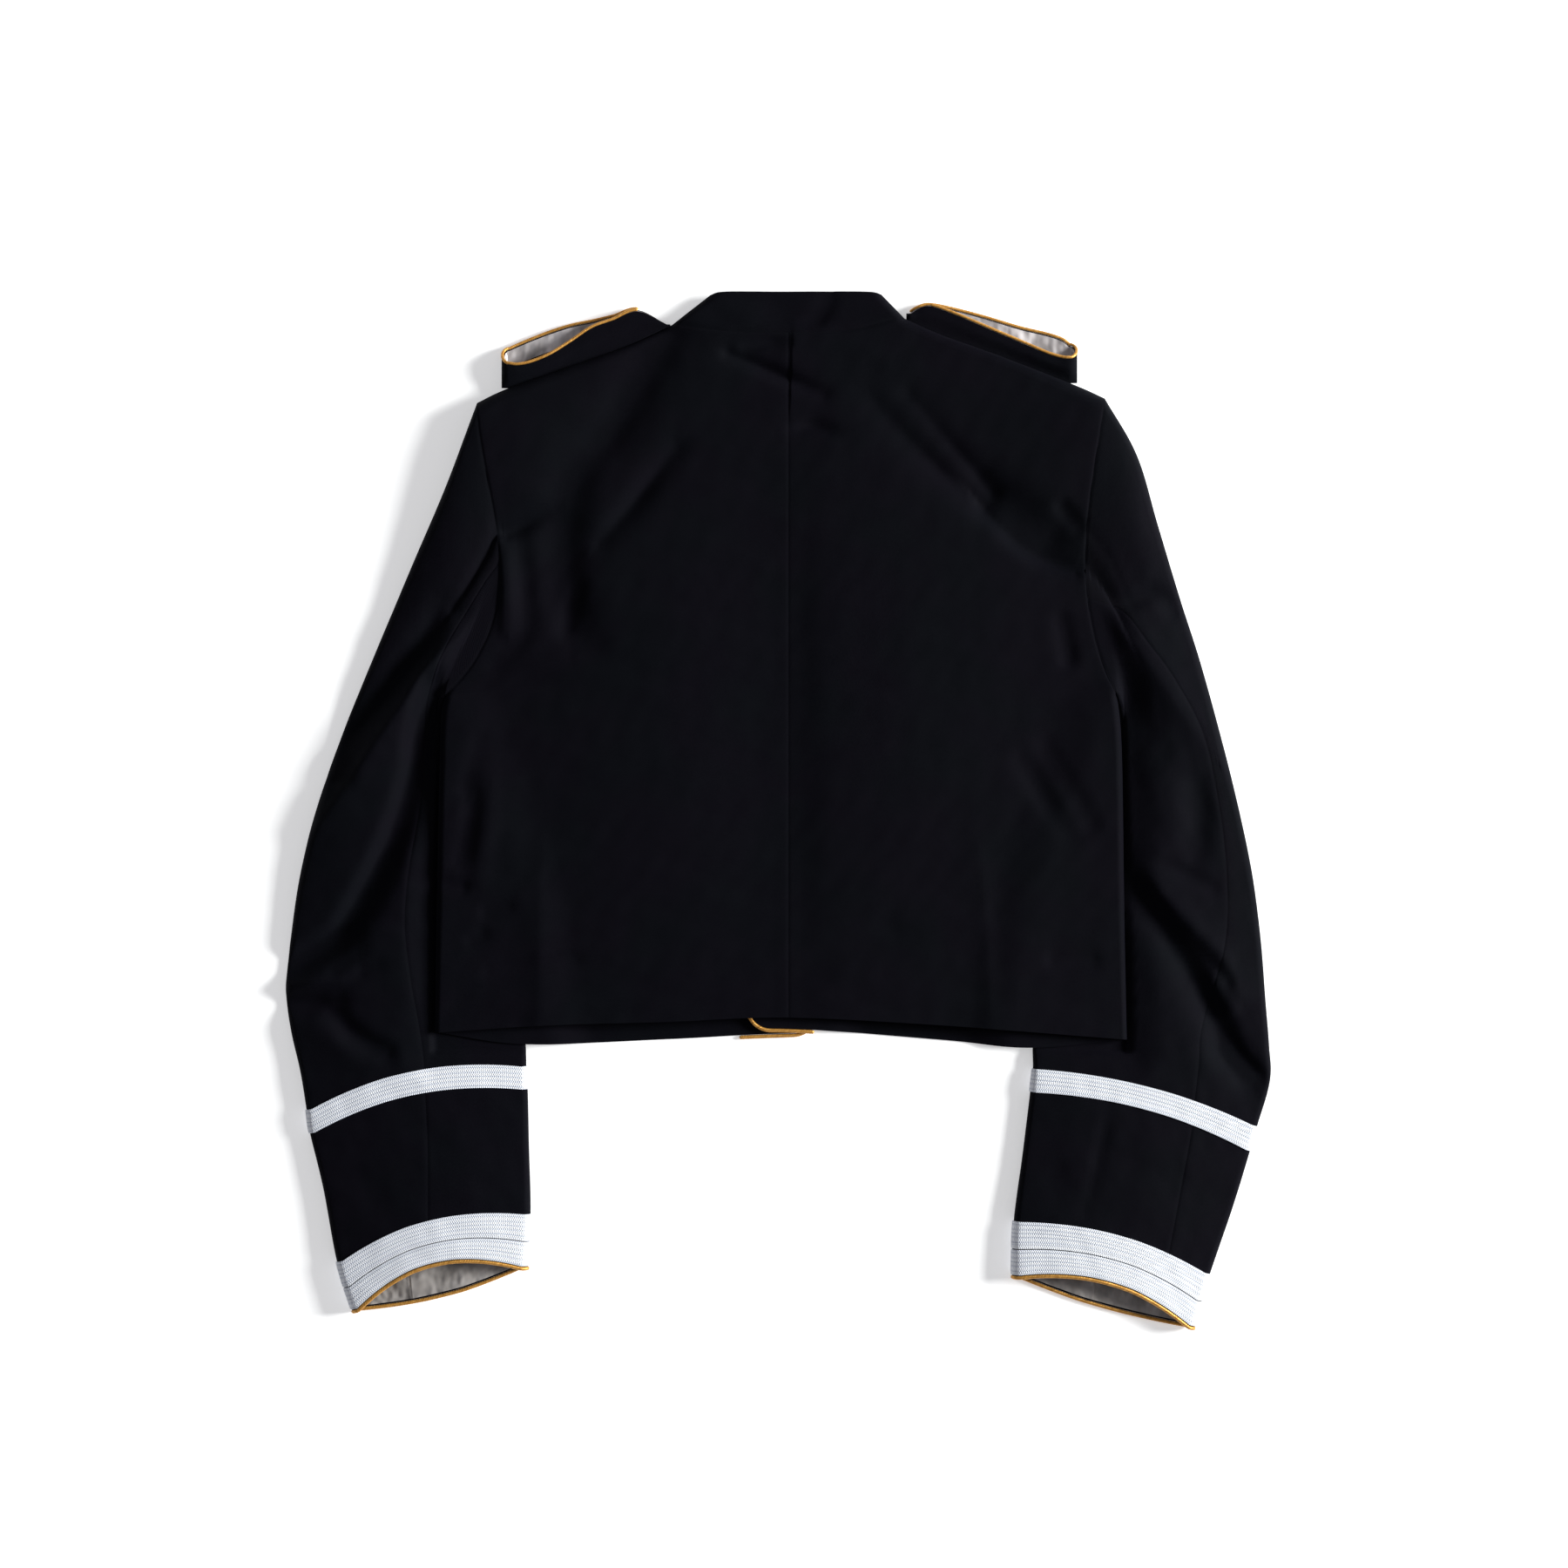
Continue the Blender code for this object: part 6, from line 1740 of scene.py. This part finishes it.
@dataclass
class Collar:
    """The stand collar, one band open at the centre front.

    Near its foot it takes the form of the body that it is sewn to. Its foot has a ditch, and a row of
    stitching below its free edge has a fainter one. Those are placed by shares of its height.
    """

    form: BodyForm
    finishes: Finishes
    foot_height: float = 13.0
    edge_height: float = 11.0
    end_gap: float = 1.0
    rows: int = 26
    sewn_up: float = 0.5
    crease_up: float = 0.3
    foot_ditch: float = 0.6
    foot_ditch_up: float = 0.07
    stitch_ditch: float = 0.3
    stitch_up: float = 0.86
    stitch_width: float = 0.035

    def points(self, layer: Layer, xy: Grid, seam_xy: Grid, up: Grid) -> Surface:
        """Points and directions on the collar.

        Args:
            layer: the back or the front part of the band.
            xy: plan points.
            seam_xy: the points of the neck seam that they stand on.
            up: 0 at the neck seam and 1 at the free edge.

        Returns:
            The points and their outward directions.
        """
        form = self.form
        lapped = layer == Layer.FRONT
        lift = np.where(seam_xy[..., 0] > form.centre_x, form.lap_lift(seam_xy), 0.0) if lapped else 0.0
        sewn, sewn_facing = form.point(seam_xy, layer, lift)
        gaps, outwards = [], []
        for end, side in ((0, -1), (-1, 1)):
            foot = np.array(BACK_NECK[end])
            run = unit(np.array(COLLAR_TOP_BACK[end]) - foot)
            outward = side * np.array([run[1], -run[0]])
            gaps.append(np.abs((xy - foot) @ outward))
            outwards.append(outward)
        left = gaps[0] < gaps[1]
        gap = np.where(left, gaps[0], gaps[1])
        outward = np.where(left[..., None], outwards[0], outwards[1])
        radius = (self.foot_height + (self.edge_height - self.foot_height) * up) / 2
        near = np.clip(1.0 - gap / radius, 0.0, 1.0)
        level = np.sqrt(1.0 - near**2)
        own_z = radius + layer * radius * level
        own_facing = raised(outward * near[..., None], layer * level)
        blend = 1.0 - smoothstep(up / self.sewn_up)
        z = own_z * (1 - blend) + sewn[..., 2] * blend
        if layer == Layer.BACK:
            z = z + relief(xy, COLLAR_CREASES) * level * smoothstep(up / self.crease_up)
            z = z - self.foot_ditch * bell(up, self.foot_ditch_up)
            z = z - self.stitch_ditch * bell(up - self.stitch_up, self.stitch_width) * level
        facing = own_facing * (1 - blend[..., None]) + sewn_facing * blend[..., None]
        return raised(xy, z), unit(facing, least=1e-9)

    def quarter(self, side: Side, layer: Layer) -> Surface:
        """One quarter of the band, from the centre out to the shoulder.

        Args:
            side: the wearer's side.
            layer: the back or the front.

        Returns:
            The points and their outward directions.
        """
        form = self.form
        neck = form.half_neck(side, layer)
        shares = dense_shares(60 if layer == Layer.BACK else 80, high=5.0, reach=0.06)
        top = Outline(COLLAR_TOP_BACK if layer == Layer.BACK else COLLAR_TOP_FRONT)
        if layer == Layer.FRONT:
            end_x = form.centre_x + side * self.end_gap / 2
            whole = neck(np.linspace(0, 1, 400))
            end = float(np.interp(end_x * side, whole[:, 0] * side, np.linspace(0, 1, 400)))
            shares = end + (1 - end) * shares
        seam = neck(shares)
        along = neck(np.minimum(shares + 0.01, 1.0)) - neck(np.maximum(shares - 0.01, 0.0))
        low = seam + unit(side * np.column_stack([-along[:, 1], along[:, 0]])) * STOCK.gap
        free_edge = top.stretch(top.share_at_x(form.centre_x), side.end_share)
        high = free_edge((shares - shares[0]) / (1 - shares[0]))
        if layer == Layer.FRONT:
            high[0, 0] = low[0, 0]
        up = dense_shares(self.rows, low=2.0, high=1.5, reach=0.1)[None, :] * np.ones((len(shares), 1))
        xy = low[:, None] + (high - low)[:, None] * up[..., None]
        return self.points(layer, xy, seam[:, None] + np.zeros_like(xy), up)

    def cloth(self) -> ClothMesh:
        """The band from its left end at the centre front, round the back, to its right end."""
        quarters = {}
        for side in Side:
            for layer in (Layer.FRONT, Layer.BACK):
                quarters[side, layer] = self.quarter(side, layer)
            back, front = quarters[side, Layer.BACK], quarters[side, Layer.FRONT]
            back[0][-1, :, 2] = (back[0][-1, :, 2] + front[0][-1, :, 2]) / 2
            back[1][-1, :, 2] = 0.0
        left, right = Side.LEFT, Side.RIGHT
        parts = [[q[:-1] for q in quarters[left, Layer.FRONT]],
                 [q[::-1] for q in quarters[left, Layer.BACK]],
                 [q[1:] for q in quarters[right, Layer.BACK]],
                 [q[::-1][1:] for q in quarters[right, Layer.FRONT]]]
        points, facing = (np.concatenate([part[i] for part in parts]) for i in (0, 1))
        return ClothMesh(points, points - unit(facing) * STOCK.collar)

    def build(self) -> None:
        """Builds the collar."""
        add("collar", self.cloth(), self.finishes.twill)


@dataclass(frozen=True)
class Braid:
    """One braid round a sleeve, between two of its sections."""

    name: str
    start: float
    end: float


@dataclass
class SleeveAssembly:
    """A two-piece sleeve with its braids, its cuff cord and the lining that shows in the cuff.

    The lining's crumples stand inwards, most on its underside, and its seam is a ridge.
    """

    form: SleeveForm
    finishes: Finishes
    braids: tuple[Braid, ...] = (
        Braid("braid_forearm", 12.0, 13.0),
        Braid("braid_cuff_upper", 15.0, 15.49),
        Braid("braid_cuff_lower", 15.51, 15.985),
    )
    shell_rows: int = 214
    braid_rows: int = 26
    rib: float = 0.03
    edge_roll: float = 0.22
    lining_sections: tuple[float, float] = (14.4, 15.97)
    lining_rows: int = 60
    crumple: float = 1.3
    crumple_base: float = 0.35
    lining_ridge: float = 1.3
    lining_ridge_width: float = 1.1
    cord_inset: float = 0.6
    cord_overlap: float = 0.9
    seam_ditch: float = 0.28
    armhole_ditch_width: float = 1.2
    ditch_width: float = 1.0
    allowance: float = 0.1
    allowance_middle: float = 4.5
    allowance_width: float = 3.5

    def shell(self, piece: str) -> ClothMesh:
        """One cut piece of the sleeve, from the armhole to the cuff.

        Args:
            piece: top_sleeve or under_sleeve.

        Returns:
            Its wall.
        """
        sections = dense_shares(self.shell_rows, low=3.0, reach=0.02) * self.form.last
        points, facing = self.form.grid(sections, lambda k: self.form.columns(k, piece))
        near = self.form.body.armhole_line(self.form.side).nearest(points[..., :2])[0]
        seam = points[-1 if piece == "top_sleeve" else 0][None]
        beside = np.linalg.norm(points[..., :2] - seam[..., :2], axis=-1)
        upward = np.clip(facing[..., 2], 0.0, 1.0)
        ditches = bell(near, self.armhole_ditch_width) + bell(beside, self.ditch_width)
        points[..., 2] -= self.seam_ditch * ditches * upward
        if piece == "top_sleeve":
            ridge = bell(beside - self.allowance_middle, self.allowance_width)
            points[..., 2] += self.allowance * ridge * upward
        return ClothMesh(points, points - facing * STOCK.cloth)

    def band(self, braid: Braid) -> ClothMesh:
        """One braid round the sleeve, its face ribbed and its edges rolled.

        Args:
            braid: which braid.

        Returns:
            Its wall.
        """
        sections = np.linspace(braid.start, braid.end, self.braid_rows)
        points, facing = self.form.grid(sections, self.form.ring)
        share = np.linspace(-1, 1, self.braid_rows)[None, :, None]
        ribs = self.rib * np.cos(share * math.pi * 4) - self.edge_roll * np.abs(share) ** 12
        inside = points + facing * STOCK.gap
        return ClothMesh(points + facing * (STOCK.gap + STOCK.braid + ribs - self.rib), inside, ring=True)

    def lining(self) -> ClothMesh:
        """The satin inside the cuff, crumpled inwards."""
        sections = np.linspace(*self.lining_sections, self.lining_rows)
        points, facing = self.form.grid(sections, self.form.ring)
        crumples = Ripple(40 + self.form.side, self.crumple, shortest=13.0, longest=40.0, waves=12)
        underside = smoothstep((0.3 - facing[..., 2]) / 0.6)
        wrinkle = np.maximum(crumples.at(points[..., :2]) + self.crumple_base, 0.0) * underside
        across = run_lengths(points[:, -1])
        seam = np.minimum(across, across[-1] - across)
        wrinkle = wrinkle + self.lining_ridge * bell(seam[:, None], self.lining_ridge_width)
        outside = points - facing * (STOCK.cloth + STOCK.gap + wrinkle[..., None])
        return ClothMesh(outside, outside - facing * STOCK.lining, ring=True)

    def cord_line(self) -> Grid:
        """Centre line of the cord round the cuff, whose ends meet at the sleeve's front seam."""
        form = self.form
        shares, layers = form.ring(form.last)
        points, facing = form.surface(form.last, shares, layers)
        _, _, cuffward = form.plan.across(form.last, shares, layers)
        line = points - facing * self.cord_inset
        line[:, :2] += cuffward * (STOCK.cord_radius + STOCK.gap)
        run = run_lengths(line)
        places = np.linspace(-self.cord_overlap, run[-1] + self.cord_overlap, 120)
        return read_along(line, run, places, period=run[-1])

    def build(self) -> None:
        """Builds the sleeve's nine pieces."""
        word, finishes = self.form.side.word, self.finishes
        for part in ("top_sleeve", "under_sleeve"):
            add(f"{part}_{word}", self.shell(part), finishes.twill)
        for braid in self.braids:
            add(f"{braid.name}_{word}", self.band(braid), finishes.braid)
        add(f"cuff_lining_{word}", self.lining(), finishes.satin)
        cord = TwistedCord(self.cord_line(), STOCK.cord_radius)
        add(f"cuff_cord_{word}", cord, finishes.cord)


@dataclass
class ShoulderLoop:
    """A flattened tube sewn into the shoulder seam, open along the top, corded and lined."""

    side: Side
    form: BodyForm
    finishes: Finishes
    base_radius: float = STOCK.loop + 0.25
    seam_gap: float = -0.2
    row_steps: int = 6
    turn_steps: int = 15
    cord_rows: dict[Side, tuple[int, int]] = field(
        default_factory=lambda: {Side.LEFT: (7, 7), Side.RIGHT: (6, 8)})
    spread_up: float = 0.7
    wave: float = 0.30
    wave_turns: tuple[float, float] = (2.3, 0.9)
    wall_rows: int = 18
    lining_heights: tuple[float, float] = (0.55, 0.97)
    lining_rows: int = 12
    cord_pitch: float = 4.4
    cord_spacing: float = 0.45

    def __post_init__(self) -> None:
        """Turns the loop's rows into one table of numbers."""
        self.rows = np.array([tuple(vars(row).values()) for row in LOOP_ROWS[self.side]])
        self.last = len(self.rows) - 1

    def path(self, near_end: int, far_end: int) -> Grid:
        """Rows and turns round the loop: in along the near wall, round the tip and out again.

        Args:
            near_end: the row where the near wall starts.
            far_end: the row where the far wall ends.

        Returns:
            A row position and a turn for each place.
        """
        quarter = math.pi / 2
        near = np.linspace(near_end, 0, near_end * self.row_steps + 1)[:-1]
        far = np.linspace(0, far_end, far_end * self.row_steps + 1)[1:]
        turns = np.linspace(quarter, -quarter, self.turn_steps)
        return np.vstack([np.column_stack([near, np.full(len(near), quarter)]),
                          np.column_stack([np.zeros(len(turns)), turns]),
                          np.column_stack([far, np.full(len(far), -quarter)])])

    def whole_path(self) -> Grid:
        """The path of the wall, closed round its neck end too."""
        turns = np.linspace(-math.pi / 2, math.pi / 2, self.turn_steps)[1:-1]
        return np.vstack([self.path(self.last, self.last),
                          np.column_stack([np.full(len(turns), self.last), turns])])

    def grid(self, path: Grid, heights: Grid) -> Surface:
        """Points and outward directions of the wall.

        Args:
            path: a row position and a turn for each column.
            heights: shares of the wall's height.

        Returns:
            The points and the directions.
        """
        place, angle = path[:, 0], path[:, 1]
        x, near_y, far_y, radius = spline_rows(self.rows, place).T
        seam_y = np.array([self.form.shoulders[self.side].y_at(value) for value in x]) + self.seam_gap
        seam = np.column_stack([x, seam_y])
        middle = (self.form.ground(seam) + self.form.base_crown(seam)) / 2
        up = np.asarray(heights)[None, :]
        wide = self.base_radius + (radius[:, None] - self.base_radius) * smoothstep(up / self.spread_up)
        short, long = self.wave_turns
        wave = self.wave * np.sin(place * short + self.side) * np.sin(place * long + 1.0)
        wide = wide + (wave * np.abs(np.sin(angle)))[:, None] * up
        sine, cosine = np.sin(angle)[:, None], np.cos(angle)[:, None]
        free_y = (far_y + (near_y - far_y) * (1 + np.sin(angle)) / 2)[:, None]
        away = np.where(place < 1, self.side, -self.side)[:, None]
        level = 0 * up
        points = np.stack([x[:, None] + away * radius[:, None] * cosine + level,
                           seam_y[:, None] + (free_y - seam_y[:, None]) * up,
                           middle[:, None] + wide * sine], axis=-1)
        return points, np.stack([away * cosine + level, 0 * wide, sine + level], axis=-1)

    def cord_line(self) -> Grid:
        """Centre line of the cord along the free edge, from the near wall round to the far one."""
        points, facing = self.grid(self.path(*self.cord_rows[self.side]), np.ones(1))
        edge, facing = points[:, 0] - facing[:, 0] * STOCK.loop / 2, facing[:, 0]
        rise = unit(np.cross(facing, np.gradient(edge, axis=0)))
        rise *= np.sign(rise[:, 1:2])
        return edge + rise * (STOCK.loop_cord_radius + STOCK.gap)

    def build(self) -> None:
        """Builds the loop's three pieces."""
        word, path = self.side.word, self.whole_path()
        points, facing = self.grid(path, dense_shares(self.wall_rows, high=1.0, reach=0.1))
        wall = ClothMesh(points, points - facing * STOCK.loop, ring=True)
        add(f"shoulder_loop_{word}", wall, self.finishes.twill)
        points, facing = self.grid(path, np.linspace(*self.lining_heights, self.lining_rows))
        outside = points - facing * (STOCK.loop + STOCK.gap)
        lining = ClothMesh(outside, outside - facing * STOCK.loop_lining, ring=True)
        # The loop lining's satin is the cuff's grey satin made lighter, as painted light.
        add(f"loop_lining_{word}", lining, self.finishes.loop_satin)
        cord = TwistedCord(self.cord_line(), STOCK.loop_cord_radius, pitch=self.cord_pitch,
                           spacing=self.cord_spacing)
        add(f"loop_cord_{word}", cord, self.finishes.cord)


@dataclass(frozen=True)
class SoftLight:
    """One square soft light that looks at the jacket's middle."""

    name: str
    place: tuple[float, float, float]
    size: float
    watts: float
    colour: tuple[float, float, float] = (1.0, 1.0, 1.0)

    def build(self) -> Piece:
        """The light in its place."""
        data = bpy.data.lights.new(self.name, "AREA")
        data.shape, data.size, data.energy, data.color = "SQUARE", self.size, self.watts, self.colour
        light = bpy.data.objects.new(self.name, data)
        light.location = self.place
        light.rotation_euler = (-Vector(self.place)).to_track_quat("-Z", "Y").to_euler()
        bpy.context.scene.collection.objects.link(light)
        return light


@dataclass
class Studio:
    """A pale floor, soft lights and the camera straight above the jacket."""

    centre: tuple[float, float] = (0.0045, 0.0183)
    frame_width: float = 1.080
    focal: float = 85.0
    sensor: float = 36.0
    floor_size: float = 8.0
    floor: Shade = Shade(0.93, 0.93, 0.93)
    floor_glow: float = 0.45
    world: Shade = Shade(0.94, 0.94, 1.0)
    world_strength: float = 0.20
    lights: tuple[SoftLight, ...] = (
        SoftLight("key_light", (4.4, 0.6, 1.8), 1.5, 550.0, (0.985, 1.0, 0.985)),
        SoftLight("fill_light", (-1.4, 0.6, 2.1), 1.8, 5.0, (0.96, 0.96, 1.0)),
    )

    def build(self) -> None:
        """Builds the studio."""
        half = self.floor_size / 2
        corners = np.array([(-half, -half, 0.0), (half, -half, 0.0), (half, half, 0.0), (-half, half, 0.0)])
        desk = NodeDesk("pale_floor")
        paper = desk.finish(Base_Color=self.floor.rgba, Roughness=0.9, Emission_Color=self.floor.rgba,
                            Emission_Strength=self.floor_glow)
        floor = mesh_object("studio_floor", corners, [(np.arange(4)[None], corners[None, :, :2])], paper)
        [light.build() for light in self.lights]
        scene = bpy.context.scene
        world = bpy.data.worlds.new("soft_world")
        world.use_nodes = True
        background = world.node_tree.nodes["Background"]
        background.inputs["Color"].default_value = self.world.rgba
        background.inputs["Strength"].default_value = self.world_strength
        scene.world = world
        scene.view_settings.view_transform = "Standard"
        lens = bpy.data.cameras.new("camera")
        lens.lens, lens.sensor_width = self.focal, self.sensor
        camera = bpy.data.objects.new("camera", lens)
        camera.location = (*self.centre, self.frame_width * self.focal / self.sensor)
        scene.collection.objects.link(camera)
        scene.camera = camera


def main() -> None:
    """Builds the jacket and its studio, and reports each piece."""
    logging.basicConfig(level=logging.INFO, format="%(name)s: %(message)s")
    finishes = Finishes()
    plans = {
        Side.LEFT: SleevePlan(Side.LEFT, LEFT_SECTIONS, 0.67),
        Side.RIGHT: SleevePlan(Side.RIGHT, RIGHT_SECTIONS, 0.40),
    }
    form = BodyForm(plans)
    Body(form, finishes).build()
    Collar(form, finishes).build()
    for side, creases in ((Side.LEFT, LEFT_SLEEVE_CREASES), (Side.RIGHT, RIGHT_SLEEVE_CREASES)):
        SleeveAssembly(SleeveForm(plans[side], form, creases), finishes).build()
        ShoulderLoop(side, form, finishes).build()
    Studio().build()


if __name__ == "__main__":
    main()
